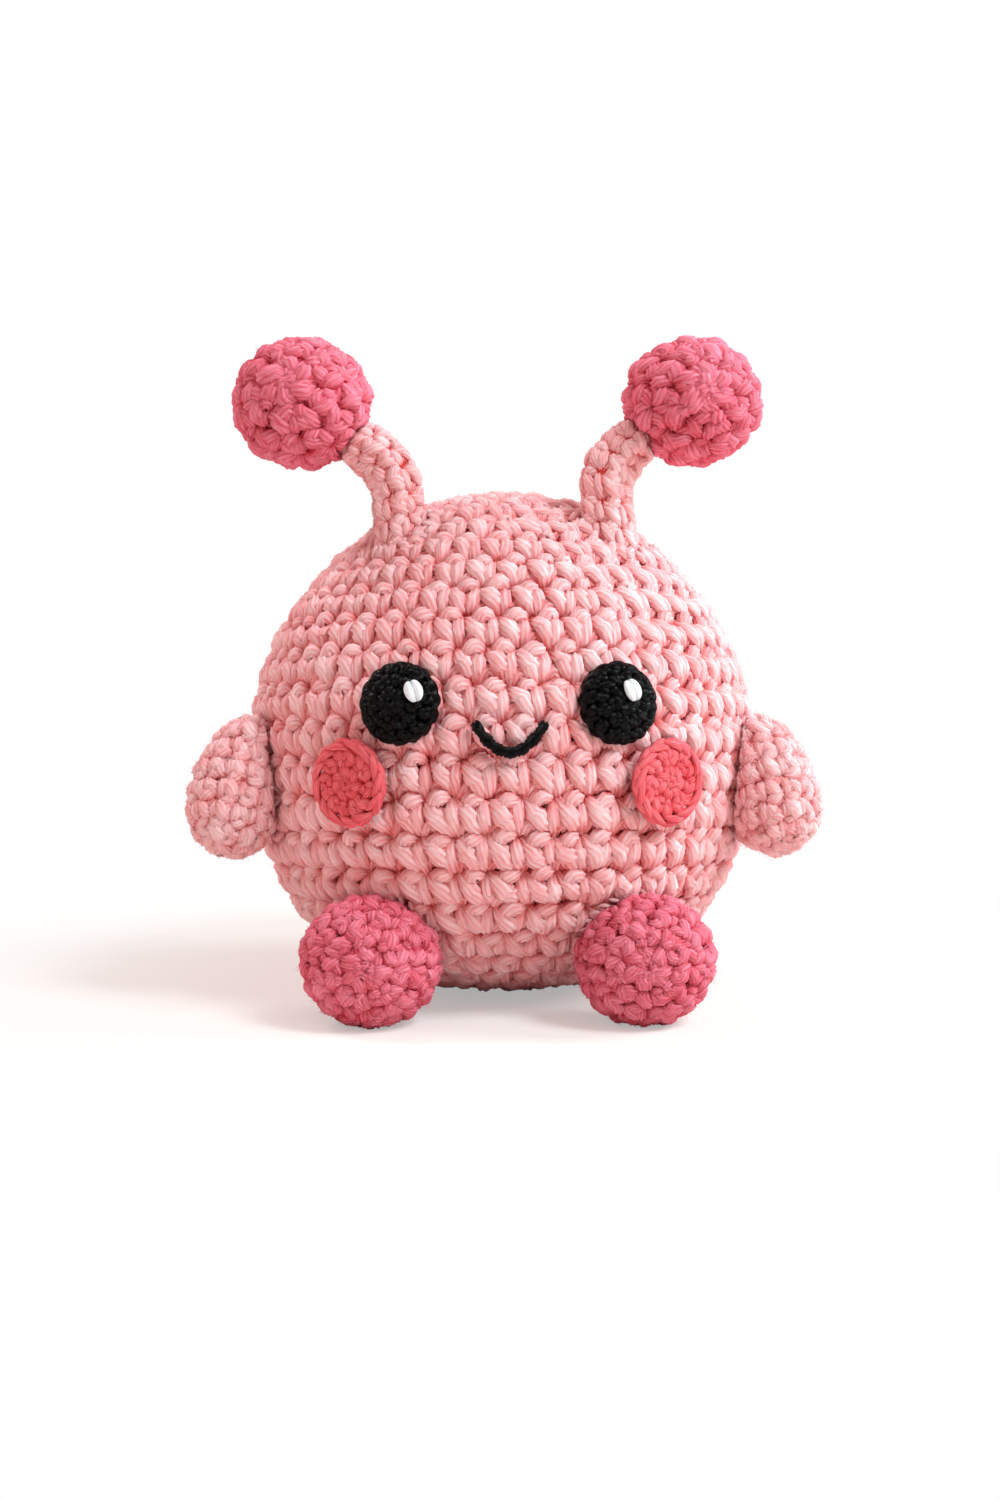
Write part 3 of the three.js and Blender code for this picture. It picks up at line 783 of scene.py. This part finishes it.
def wad(node, body_name, fibres, reach, settle=()):
    """A wad of filling with the size of its solid: lumpy, with crimped fibres on it."""
    mesh = bpy.data.objects[node].data.copy()
    rounded = bmesh.new()
    rounded.from_mesh(mesh)
    bmesh.ops.triangulate(rounded, faces=rounded.faces[:])
    bmesh.ops.subdivide_edges(rounded, edges=rounded.edges[:], cuts=1, use_grid_fill=True)
    rounded.to_mesh(mesh)
    rounded.free()
    verts, normals = corner_vectors(mesh, "co") / MM, corner_vectors(mesh, "normal")
    lump = np.sin(verts @ dice.normal(0, 1.1, (3, 5)) + dice.random(5) * TURN).mean(1)
    verts = verts - normals * (reach * (0.6 + lump))[:, None]
    for move in settle:
        verts = move(verts)
    mesh.vertices.foreach_set("co", (verts * MM).astype(np.float32).ravel())
    finish_mesh(mesh, {"tint": 0.5 + 0.4 * lump, "level": 0.3 - lump})
    mesh.materials.clear()
    dress(placed(f"{node}_wad", mesh), body_name, "fibre_fill", node)

    picks = dice.integers(0, len(verts), fibres)
    start, out = verts[picks], unit(normals[picks])
    along = unit(np.cross(out, dice.normal(0, 1, (fibres, 3))))
    across = np.cross(out, along)
    share = np.linspace(-1, 1, 9)[None, :, None]
    longest = min(LONGEST_FIBRE, 0.3 * np.ptp(verts, axis=0).min())
    length = longest * np.minimum(dice.lognormal(0, 0.3, (fibres, 1, 1)), 1.4)
    wave = np.sin(share * 7 + dice.random((fibres, 1, 1)) * TURN) * 0.25
    middle = start[:, None] + length * share * along[:, None] + wave * across[:, None]
    middle = middle - out[:, None] * (0.12 + 0.08 * (length * share) ** 2)
    yarn = Yarn()
    yarn.strands(middle, out[:, None], FIBRE_RADIUS, FIBRE_RADIUS, 0.0, plies=0)
    dress(yarn.mesh(f"{node}_fibres"), body_name, "fibre_fill", node)


def spokes(first, second, samples):
    """Directions once round a circle, from the first direction towards the second."""
    turn = np.linspace(0, TURN, samples, endpoint=False)[:, None]
    return np.cos(turn) * first + np.sin(turn) * second


def front_of_body(side, rise):
    """A place on the front of the body and its outward direction."""
    radius = float(body_section(rise))
    forward = math.sqrt(radius**2 - side**2)
    steepness = math.copysign((abs(rise) / radius) ** (fullness(rise) - 1), rise)
    normal = unit(np.array([side / radius, -forward / radius, steepness]))
    return BODY_CENTRE + leaned([side, -forward, rise]), leaned(normal)


def pushed_off_line(points, line, radius):
    """Points nearer than radius to a line of places are moved out to it."""
    flat = points.reshape(-1, 3)
    nearest = line[np.argmin(((flat[:, None] - line[None]) ** 2).sum(-1), 1)]
    apart = flat - nearest
    distance = np.linalg.norm(apart, axis=-1, keepdims=True)
    return (nearest + unit(apart) * np.maximum(distance, radius)).reshape(points.shape)


# The body, worked in rounds from the ring at its crown
CROWN_RING = 0.9
FIRST_RING = 3.97
UPPER_ROUND = 4.608
LOWER_ROUND = 4.85
UPPER_ROUNDS = 12
CROWN_HOLES = 6
WIDEST_ROUND = 50
INCREASE = 6.3
SEAT_STITCH = 4.1
BODY_PHASE = 0.03
BODY_LIFT, CROWN_LIFT = -0.03, -0.14
LARGEST_PART = 118
PRESSED_YARN = -0.1
SEWN_ROUNDS = (EYE_SIDE, EYE_RISE, EYE_RADIUS), (CHEEK_SIDE, CHEEK_RISE, CHEEK_RADIUS)


def body_rounds(form):
    """The rings of holes of the body and how many each has: more each round, even, then fewer."""
    rings = [CROWN_RING] + [FIRST_RING + UPPER_ROUND * ring for ring in range(UPPER_ROUNDS)]
    while rings[-1] + LOWER_ROUND < form.length[-1] - 1:
        rings.append(rings[-1] + LOWER_ROUND)
    from_crown = [CROWN_HOLES] + [round(INCREASE * ring) for ring in range(1, len(rings))]
    from_seat = [round(TURN * form.read(ring, form.radius) / SEAT_STITCH) for ring in rings]
    return rings, [max(5, min(up, down, WIDEST_ROUND)) for up, down in zip(from_crown, from_seat)]


def flat_under(points, place, normal, radius):
    """Yarn under a round that is sewn on lies flat on the body."""
    arm = points - place
    height = arm @ normal
    aside = (arm * arm).sum(-1) - height**2
    proud = height - PRESSED_YARN + aside / 2 / BODY_RADIUS
    return points - np.where(aside < radius**2, np.maximum(proud, 0), 0)[..., None] * normal


def make_body():
    form = aimed_form(body_outline(), BODY_CENTRE, leaned(UP), leaned(FRONT))
    rings, holes = body_rounds(form)
    yarns, stitches, rounds = [], LARGEST_PART, []
    for above, below in zip(holes, holes[1:]):
        if stitches + max(above, below) > LARGEST_PART:
            yarns.append(Yarn())
            stitches = 0
        stitches += max(above, below)
        rounds.append(yarns[-1])
    from_widest = np.clip((UPPER_ROUNDS - 2 - np.arange(len(rounds))) / 4, 0, 1)
    lift = BODY_LIFT + CROWN_LIFT * from_widest**2 * (3 - 2 * from_widest)
    crochet(rounds, form, rings, holes, phase=BODY_PHASE, hairs=1.5, lift=lift)
    presses = [above_floor]
    for sign in SIDES.values():
        for sewn_side, rise, radius in SEWN_ROUNDS:
            place, normal = front_of_body(sign * sewn_side, rise)
            presses.append(partial(flat_under, place=place, normal=normal, radius=radius + 0.1))
    for number, yarn in enumerate(yarns, 1):
        yarn.settle(*presses)
        dress(yarn.mesh(f"body_cover_rounds_{number}"), "torso", "pink_yarn", "body_cover")
        hairs = fuzz(yarn, f"body_cover_fuzz_{number}")
        dress(hairs, "torso", "pink_yarn", "body_cover", looks=FUZZ)
    wall = lining(form, "body_cover_lining", -1.85, 0.45, 0.9, form.length[-1] - 0.3, settle=[above_floor])
    dress(wall, "torso", "pink_yarn", "body_cover")
    wad("body_filling", "torso", 1500, 0.5)


STALK_PHASE = {"left": -0.52, "right": -0.45}
STALK_RINGS = 0.7, 2.6, 5.2, 7.7, 10.1, 12.1, 13.9, 15.4
STALK_HOLES = 4, 6, 6, 6, 6, 6, 6, 7, 7
STALK_FLARE = 0.5
STALK_SINK, STALK_SEAM_SINK = 1.9, 0.9
STALK_SEAT_START = 2.0
STALK_SEAT_DROP = 4.5
STALK_BEND = 2.5
BALL_POLE = {"left": (-0.19, -1, 0.22), "right": (0.09, -1, 0.07)}


def make_antenna(name, sign):
    base_side = sign * STALK_BASE_SIDE[name]
    reach = BODY_RADIUS + STALK_RADIUS + SEAT_GAP
    base = np.array([base_side, -STALK_FORWARD, math.sqrt(reach**2 - base_side**2 - STALK_FORWARD**2)])
    tip = np.array([sign * (STALK_TIP_SIDE[name] - STALK_BASE_SIDE[name]), 0, STALK_TIP_RISE])
    bend = tip / 2 - [2 * sign * STALK_BOW, 0, 0]
    share = np.linspace(0, 1, 25)[:, None]
    line = BODY_CENTRE + leaned(base + 2 * (1 - share) * share * bend + share**2 * tip)
    length = np.linalg.norm(np.diff(line, axis=0), axis=1).sum()
    rounded = arc(STALK_RADIUS, STALK_RADIUS, samples=24) + [0, length]
    drop = np.linspace(0, STALK_SEAT_DROP, 12)
    foot = np.stack([STALK_RADIUS + STALK_FLARE * (drop / drop[-1]) ** 2, -drop], -1)
    stalk = bent_form(np.concatenate([rounded, foot]), line, leaned(FRONT))
    rounds = [*STALK_RINGS, stalk.length[-1]], STALK_HOLES
    limb = f"{name}_antenna"
    outwards = unit(line[0] - BODY_CENTRE)
    down = -unit(line[3] - line[0])
    seat_start = line[0] - STALK_SEAT_START * down

    def body_below(points, sink):
        """How far below its plane at the seat's start each point's line down the stalk meets the body."""
        drop = (points - seat_start) @ down
        top = points - drop[..., None] * down - BODY_CENTRE
        half = top @ down
        return drop, -half - np.sqrt(half**2 - (top * top).sum(-1) + (BODY_RADIUS - sink) ** 2)

    def seated(points):
        """The lowest rounds reach down to the round body, further on its outer side."""
        drop, reach = body_below(points, STALK_SINK)
        stretch = reach / (STALK_SEAT_START + STALK_SEAT_DROP) - 1
        return points + (np.maximum(drop, 0) * stretch)[..., None] * down

    # The stalk's open end is sewn to the body. Two places near it are handed on as bends, and the stalk's
    # pieces stay fixed where they are made.
    bends = line[0] - STALK_RADIUS * outwards, line[0] - STALK_BEND * down
    cover(f"{limb}_stalk", stalk, rounds, "pink_yarn", limb, [seated], bends=bends,
                    phase=STALK_PHASE[name], drift=0.0, puff=1.12, hair=0.6, hairs=1.5, loose=0.8,
                    lift=-0.1)
    wad(f"{name}_stalk_filling", limb, 60, 0.15)

    side = unit(np.cross(down, leaned(-FRONT)))
    spoke = spokes(side, np.cross(down, side), 120)
    ring = seat_start + (STALK_RADIUS + STALK_FLARE + 0.2) * spoke
    seam = ring + body_below(ring, STALK_SEAM_SINK)[1][:, None] * down
    whip_stitches(f"{limb}_sewing", seam, spoke + unit(seam - BODY_CENTRE), 12,
                  [partial(pushed_off_body, gap=-1.3)], width=1.9, slant=1.0, thick=0.55, bulge=0.1)

    towards = np.array([sign * math.sin(BALL_TILT), 0, math.cos(BALL_TILT)])
    half_width, half_height = BALL_WIDTH / 2, BALL_HEIGHT / 2
    ball_reach = 1 / math.hypot(math.sin(BALL_TILT) / half_width, math.cos(BALL_TILT) / half_height)
    centre = line[-1] + leaned(towards * (ball_reach + STALK_RADIUS - BALL_SINK))
    ball = aimed_form(arc(half_width, half_width, stop=math.pi, samples=160), centre,
                      leaned(BALL_POLE[name]), leaned(UP))
    swept = np.concatenate([turned_about(line, line[-1], RIGHT, nod) for nod in (-BALL_NOD, 0, BALL_NOD)])

    def flattened(points):
        return centre + leaned(unleaned(points - centre) * [1, 1, BALL_HEIGHT / BALL_WIDTH])

    def clear_of_stalk(points):
        return pushed_off_line(points, swept, STALK_RADIUS + SWING_GAP)

    def off_stalk(points):
        return np.linalg.norm(points[:, None] - swept[None], axis=-1).min(1) > 0.8 * STALK_RADIUS

    cover(f"{limb}_ball", ball, even_rounds(ball, 4.2, 4.4), "rose_yarn", f"{limb}_end",
                    [flattened, clear_of_stalk], off_stalk, 0.5, puff=1.1, hairs=0.8, loose=1.3,
                    lift=-0.12)
    wad(f"{name}_ball_filling", f"{limb}_end", 200, 0.4)


def make_arm(name, sign):
    def aside(forward, distance, height):
        return np.array([sign * distance * math.cos(forward), -distance * math.sin(forward), height])

    hand_height = SHOULDER_HEIGHT - HAND_DROP
    shoulder_reach = body_section(SHOULDER_HEIGHT) + SEAT_GAP + SHOULDER_RADIUS - SHOULDER_PRESS
    hand_reach = body_section(hand_height) + SEAT_GAP + HAND_RADIUS - HAND_PRESS
    shoulder = BODY_CENTRE + leaned(aside(SHOULDER_FORWARD, shoulder_reach, SHOULDER_HEIGHT))
    hand = BODY_CENTRE + leaned(aside(HAND_FORWARD, hand_reach, hand_height))
    reach = np.linalg.norm(hand - shoulder)
    pear = pear_outline(reach)
    fullest = np.clip(1 - np.abs(pear[:, 1] / reach - 0.25), 0, 1) ** 2
    pear[:, 0] += ARM_PLUMPNESS * fullest * (pear[:, 0] > 1)
    arm = aimed_form(pear, shoulder, hand - shoulder, FRONT)
    hinge = np.array(ARM_HINGE) * [sign, 1, 1]
    outwards = unit(leaned(aside(SHOULDER_FORWARD, 1, 0)))
    sewing_reach = body_section(ARM_SEWING_HEIGHT) + SEAT_GAP
    sewing = BODY_CENTRE + leaned(aside(SHOULDER_FORWARD, sewing_reach, ARM_SEWING_HEIGHT))
    lifts = ARM_LIFT * np.linspace(0, 1, 5)

    def lifted(points, angle):
        return turned_about(points, hinge, sign * leaned(FRONT), angle)

    def leant_in(points):
        """The arm's upper end lies against the body: its outer side slants in to the shoulder."""
        from_hand = (points - hand) @ unit(shoulder - hand)
        upper = np.clip((from_hand - reach + ARM_SLANT_START) / (ARM_SLANT_START + SHOULDER_RADIUS), 0, 1)
        return points - (ARM_SLANT * upper**2)[..., None] * outwards

    def clear_of_body(points):
        for lift in lifts:
            points = lifted(pushed_off_body(lifted(points, lift), ARM_GAP), -lift)
        return points

    def off_body(points):
        deepest = np.max([body_depth(lifted(points, lift)) for lift in lifts], axis=0)
        return (deepest < 0.8) & (np.linalg.norm(points - sewing, axis=-1) > ARM_MOUTH_RADIUS)

    cover(f"{name}_arm", arm, even_rounds(arm, 2.9, 2.9), "pink_yarn", f"{name}_arm",
                    [leant_in, clear_of_body], off_body, 0.8, puff=1.15, hairs=8.0, loose=1.6, lift=-0.1)
    wad(f"{name}_arm_filling", f"{name}_arm", 160, 0.3, [leant_in])

    spoke = spokes(np.cross(outwards, leaned(UP)), leaned(UP), 90)
    whip_stitches(f"{name}_arm_sewing", sewing + ARM_SEWING_RADIUS * spoke, outwards + 0.3 * spoke, 10,
                  [partial(pushed_off_body, gap=0.05)], width=1.5, slant=1.0, thick=0.4, bulge=0.1)


def make_foot(name, sign):
    centre = np.array([sign * FOOT_SPREAD, -FOOT_FORWARD, FOOT_HEIGHT / 2 - RESTING_CUT])
    outline = arc(FOOT_WIDTH / 2, FOOT_DEPTH / 2, stop=math.pi, samples=160)
    foot = aimed_form(outline, centre, FOOT_POLE, UP)

    def flattened(points):
        return centre + (points - centre) * [1, 1, FOOT_HEIGHT / FOOT_WIDTH]

    def off_body(points):
        return body_depth(points) < 1.3

    cover(f"{name}_foot", foot, even_rounds(foot, 2.95, 2.95), "rose_yarn", "torso",
                    [flattened, partial(pushed_off_body, gap=0.3), above_floor], off_body, 0.8,
                    puff=1.1, hairs=6.0, loose=1.6, lift=-0.1)
    wad(f"{name}_foot_filling", "torso", 200, 0.4)

    # The seam is where the foot's surface meets the body's, found by halving on the way out from the body.
    towards = unit(BODY_CENTRE - centre)
    side = unit(np.cross(towards, UP))
    spoke = spokes(side, np.cross(towards, side), 160)
    grown = np.array([FOOT_WIDTH, FOOT_DEPTH, FOOT_HEIGHT]) / 2
    low, high = np.zeros((len(spoke), 1)), np.full((len(spoke), 1), 2.2)
    for _ in range(24):
        middle = (low + high) / 2
        ray = np.cos(middle) * towards + np.sin(middle) * spoke
        place = centre + ray / np.linalg.norm(ray / grown, axis=-1, keepdims=True)
        inside = body_depth(place)[:, None] > 0.2
        low, high = np.where(inside, middle, low), np.where(inside, high, middle)
    above = place[:, 2] > 1.0
    seam, outward = place[above], (unit(place - centre) + unit(place - BODY_CENTRE))[above]

    def clear_of_foot(points):
        share = np.linalg.norm((points - centre) / (grown - 0.3), axis=-1, keepdims=True)
        return centre + (points - centre) * np.maximum(1, 1 / np.maximum(share, TINY))

    whip_stitches(f"{name}_foot_sewing", seam, outward, 26,
                  [clear_of_foot, partial(pushed_off_body, gap=-0.4), above_floor],
                  width=1.2, slant=1.2, thick=0.3, bulge=0.0)


def border(node, form, slot, loops, lays, width=0.52):
    """Slanted loops round a flat crochet round. Each lay is a span in radians, two lengths and a rise."""
    share = np.linspace(0, 1, 11)[None, :]
    start = TURN * (np.arange(loops)[:, None] + 0.1 * dice.normal(0, 1, (loops, 1))) / loops
    half = width * np.sqrt(np.sin(math.pi * (0.08 + 0.84 * share)))
    yarn = Yarn()
    for span, inner, outer, rise in lays:
        lift = rise - 0.35 + 0.35 * np.sin(math.pi * share)
        middle, out = form.at(inner + (outer - inner) * share, start + span * share, lift)
        yarn.strands(middle, out, half, 0.9 * half, 0.2 * share + dice.random((loops, 1)), plies=6)
    dress(yarn.mesh(f"{node}_border"), "torso", slot, node)


EYE_ROUNDS = [0.4, 2.1, 3.9, 5.6], [5, 7, 12, 15]
EYE_BORDER = (0.66, 4.9, 6.3, -0.3), (0.5, 7.1, 6.2, -0.45)
CHEEK_ROUNDS = [0.4, 2.4, 4.5], [5, 7, 12]
CHEEK_BORDER = (0.74, 4.1, 5.15, 0.05), (0.62, 5.5, 4.9, -0.25)


def make_eye(name, sign):
    place, normal = front_of_body(sign * EYE_SIDE, EYE_RISE)
    outline = np.concatenate([arc(EYE_RADIUS, EYE_DOME), [[EYE_RADIUS, -0.5], [EYE_RADIUS, -1.2]]])
    eye = aimed_form(outline, place, normal, UP)
    node = f"{name}_eye"
    cover(node, eye, EYE_ROUNDS, "black_yarn", "torso", hair=0.5, puff=1.05, hairs=1.5,
          lining_end=eye.length[-1] - 0.1)
    border(node, eye, "black_yarn", 15, EYE_BORDER)

    # The highlight lies where a line from the front meets the dome.
    radii = np.array([EYE_RADIUS, EYE_RADIUS, EYE_DOME])
    own = np.stack(eye.line(np.zeros(1))[1:])
    start = own @ (HIGHLIGHT_SIDE * RIGHT + HIGHLIGHT_RISE * UP) / radii
    run = own @ FRONT / radii
    half = start @ run / (run @ run)
    spot = start + run * (math.sqrt(half**2 + (1 - start @ start) / (run @ run)) - half)
    out = unit(unit(spot / radii) @ own)
    spot = place + (spot * radii) @ own
    long = unit(math.cos(HIGHLIGHT_TILT) * UP - math.sin(HIGHLIGHT_TILT) * RIGHT)
    long = unit(long - out * (long @ out))
    share = np.linspace(-1, 1, 13)[None, :, None]
    narrowing = np.sqrt(1.02 - share**2)
    offset = np.array([-1, 1])[:, None, None] * 0.5 * narrowing
    middle = spot + share * HIGHLIGHT_HALF_LENGTH * long + offset * np.cross(long, out)
    middle = middle + (0.3 * narrowing - 0.05) * out
    width = 0.62 * narrowing[..., 0]
    turns = 0.04 * share[..., 0] + np.array([[0.1], [0.3]])
    yarn = Yarn()
    yarn.strands(middle, out, width, 0.7 * width, turns, plies=8, groove=0.08)
    dress(yarn.mesh(f"{node}_highlight_stitches"), "torso", "white_yarn", f"{node}_highlight")


def make_cheek(name, sign):
    place, normal = front_of_body(sign * CHEEK_SIDE, CHEEK_RISE)
    radius = np.linspace(0, CHEEK_RADIUS - CHEEK_EDGE, 20)
    flat = np.stack([radius, CHEEK_HEIGHT - radius**2 / 2 / BODY_RADIUS], -1)
    edge = flat[-1] + arc(CHEEK_EDGE, CHEEK_EDGE, samples=8)[1:] - [0, CHEEK_EDGE]
    outline = np.concatenate([flat, edge, [[CHEEK_RADIUS, 0.2], [CHEEK_RADIUS, -0.6]]])
    cheek = aimed_form(outline, place, normal, UP)
    node = f"{name}_cheek"
    cover(node, cheek, CHEEK_ROUNDS, "coral_yarn", "torso", hair=0.5, puff=1.12, hairs=1.5, loose=0.6,
          lining_end=cheek.length[-1] - 0.1)
    border(node, cheek, "coral_yarn", 13, CHEEK_BORDER)


def make_mouth():
    """One yarn of two plies, laid along the smile. Its ends go down into the body."""
    share = np.linspace(-1, 1, 41)
    rises = (MOUTH_CORNER_RISE + MOUTH_DIP) * share**2 - MOUTH_DIP
    places, normals = zip(*map(front_of_body, MOUTH_HALF_WIDTH * share, rises))
    route, out = np.array(places), np.array(normals)
    sunk = 0.75 * np.clip((np.abs(share) - 0.88) / 0.12, 0, 1) ** 2
    route = route + (SEAT_GAP + MOUTH_YARN_RADIUS + 0.1 - sunk)[:, None] * out
    across = unit(np.cross(unit(np.gradient(route, axis=0)), out))
    width = 0.54 * np.sqrt(1.03 - np.abs(share) ** 12)
    yarn = Yarn()
    for ply in range(2):
        turn = TURN * (1.6 * share + ply / 2)
        middle = route + 0.27 * (np.cos(turn)[:, None] * across + np.sin(turn)[:, None] * out)
        yarn.strands(middle[None], out, width, width, 2.2 * share + ply / 3, plies=6)
    dress(yarn.mesh("mouth_yarn"), "torso", "black_yarn", "mouth")


make_body()
for side_name, side_sign in SIDES.items():
    make_antenna(side_name, side_sign)
    make_arm(side_name, side_sign)
    make_foot(side_name, side_sign)
    make_eye(side_name, side_sign)
    make_cheek(side_name, side_sign)
make_mouth()


FLOOR_HALF = 3.0


def make_stage():
    """A pale floor that keeps the toy's shadow and fades into the white background for the camera alone."""
    paint = Shader(bpy.data.materials.new("pale floor"))
    camera_ray = paint.node("ShaderNodeLightPath")
    spot = paint.node("ShaderNodeNewGeometry")
    distance = paint.node("ShaderNodeVectorMath", {"operation": "LENGTH"}, {0: spot}, output=1)
    pale = paint.node("ShaderNodeBsdfDiffuse", inputs={"Color": (0.90, 0.81, 0.77, 1)})
    white = paint.node("ShaderNodeEmission", inputs={"Color": (1, 1, 1, 1), "Strength": 1.0})
    away = paint.ramp(distance, 0.03, 0.11) * 0.6 + 0.4
    surface = paint.node("ShaderNodeMixShader", inputs={0: camera_ray * away, 1: pale, 2: white})
    mesh = bpy.data.meshes.new("floor")
    corners = [(x * FLOOR_HALF, y * FLOOR_HALF, 0) for x, y in ((-1, -1), (1, -1), (1, 1), (-1, 1))]
    mesh.from_pydata(corners, [], [(0, 1, 2, 3)])
    floor = placed("floor", mesh)
    floor.data.materials.append(paint.finish(surface))

    bpy.context.scene.world = bpy.data.worlds.new("studio")
    sky = Shader(bpy.context.scene.world)
    room = sky.node("ShaderNodeBackground", inputs={"Color": (1, 0.68, 0.58, 1), "Strength": 0.40})
    white = sky.node("ShaderNodeBackground", inputs={"Color": (1, 1, 1, 1)})
    camera_ray = sky.node("ShaderNodeLightPath")
    surface = sky.node("ShaderNodeMixShader", inputs={0: camera_ray, 1: room, 2: white})
    sky.finish(surface, "ShaderNodeOutputWorld")


def stood(name, data, place, aim):
    """A lamp or the camera at a place in metres, turned to what it looks at."""
    holder = placed(name, data)
    holder.location = place
    holder.rotation_euler = Vector(np.subtract(aim, place)).to_track_quat("-Z", "Y").to_euler()
    return holder


# Each lamp's place, what it looks at, its size, its power and its colour, in metres and watts
LAMPS = {
    "key": ((0.40, -0.34, 0.58), (0, 0, 0.04), 0.30, 4.9, (0.79, 1.0, 1.03)),
    "side": ((0.56, 0.05, 0.34), (0, 0, 0.05), 0.30, 2.9, (0.80, 1.0, 1.03)),
    "fill": ((-0.56, -0.20, 0.42), (0, 0, 0.04), 0.35, 0.45, (1.0, 0.82, 0.78)),
    "rim": ((-0.40, 0.20, 0.56), (0, 0, 0.06), 0.30, 2.1, (0.95, 1.0, 1.02)),
}


def make_lamp(name, place, aim, size, power, colour):
    lamp = bpy.data.lights.new(name, "AREA")
    lamp.shape, lamp.size, lamp.energy, lamp.color = "DISK", size, power, colour
    stood(name, lamp, place, aim)


# The camera stands at the photograph's angle
CAMERA_DISTANCE = 300.0
CAMERA_AZIMUTH = math.radians(-1.6)
CAMERA_ELEVATION = math.radians(5)
CAMERA_LENS = 54.0
PIXELS_PER_MM = 7.5
BODY_IN_PICTURE = (502, 738)
PICTURE_MIDDLE = (500, 750)


def make_camera():
    back = np.array([
        math.sin(CAMERA_AZIMUTH) * math.cos(CAMERA_ELEVATION),
        -math.cos(CAMERA_AZIMUTH) * math.cos(CAMERA_ELEVATION),
        math.sin(CAMERA_ELEVATION),
    ])
    right = unit(np.cross(UP, back))
    up = np.cross(back, right)
    aside = (BODY_IN_PICTURE[0] - PICTURE_MIDDLE[0]) / PIXELS_PER_MM
    below = (PICTURE_MIDDLE[1] - BODY_IN_PICTURE[1]) / PIXELS_PER_MM
    place = BODY_CENTRE + CAMERA_DISTANCE * back
    aim = BODY_CENTRE - aside * right - below * up
    data = bpy.data.cameras.new("camera")
    data.lens = CAMERA_LENS
    data.clip_start, data.clip_end = 0.01, 20
    bpy.context.scene.camera = stood("camera", data, place * MM, aim * MM)


make_stage()
for lamp_name, lamp_values in LAMPS.items():
    make_lamp(lamp_name, *lamp_values)
make_camera()
bpy.context.scene.view_settings.view_transform = "Standard"
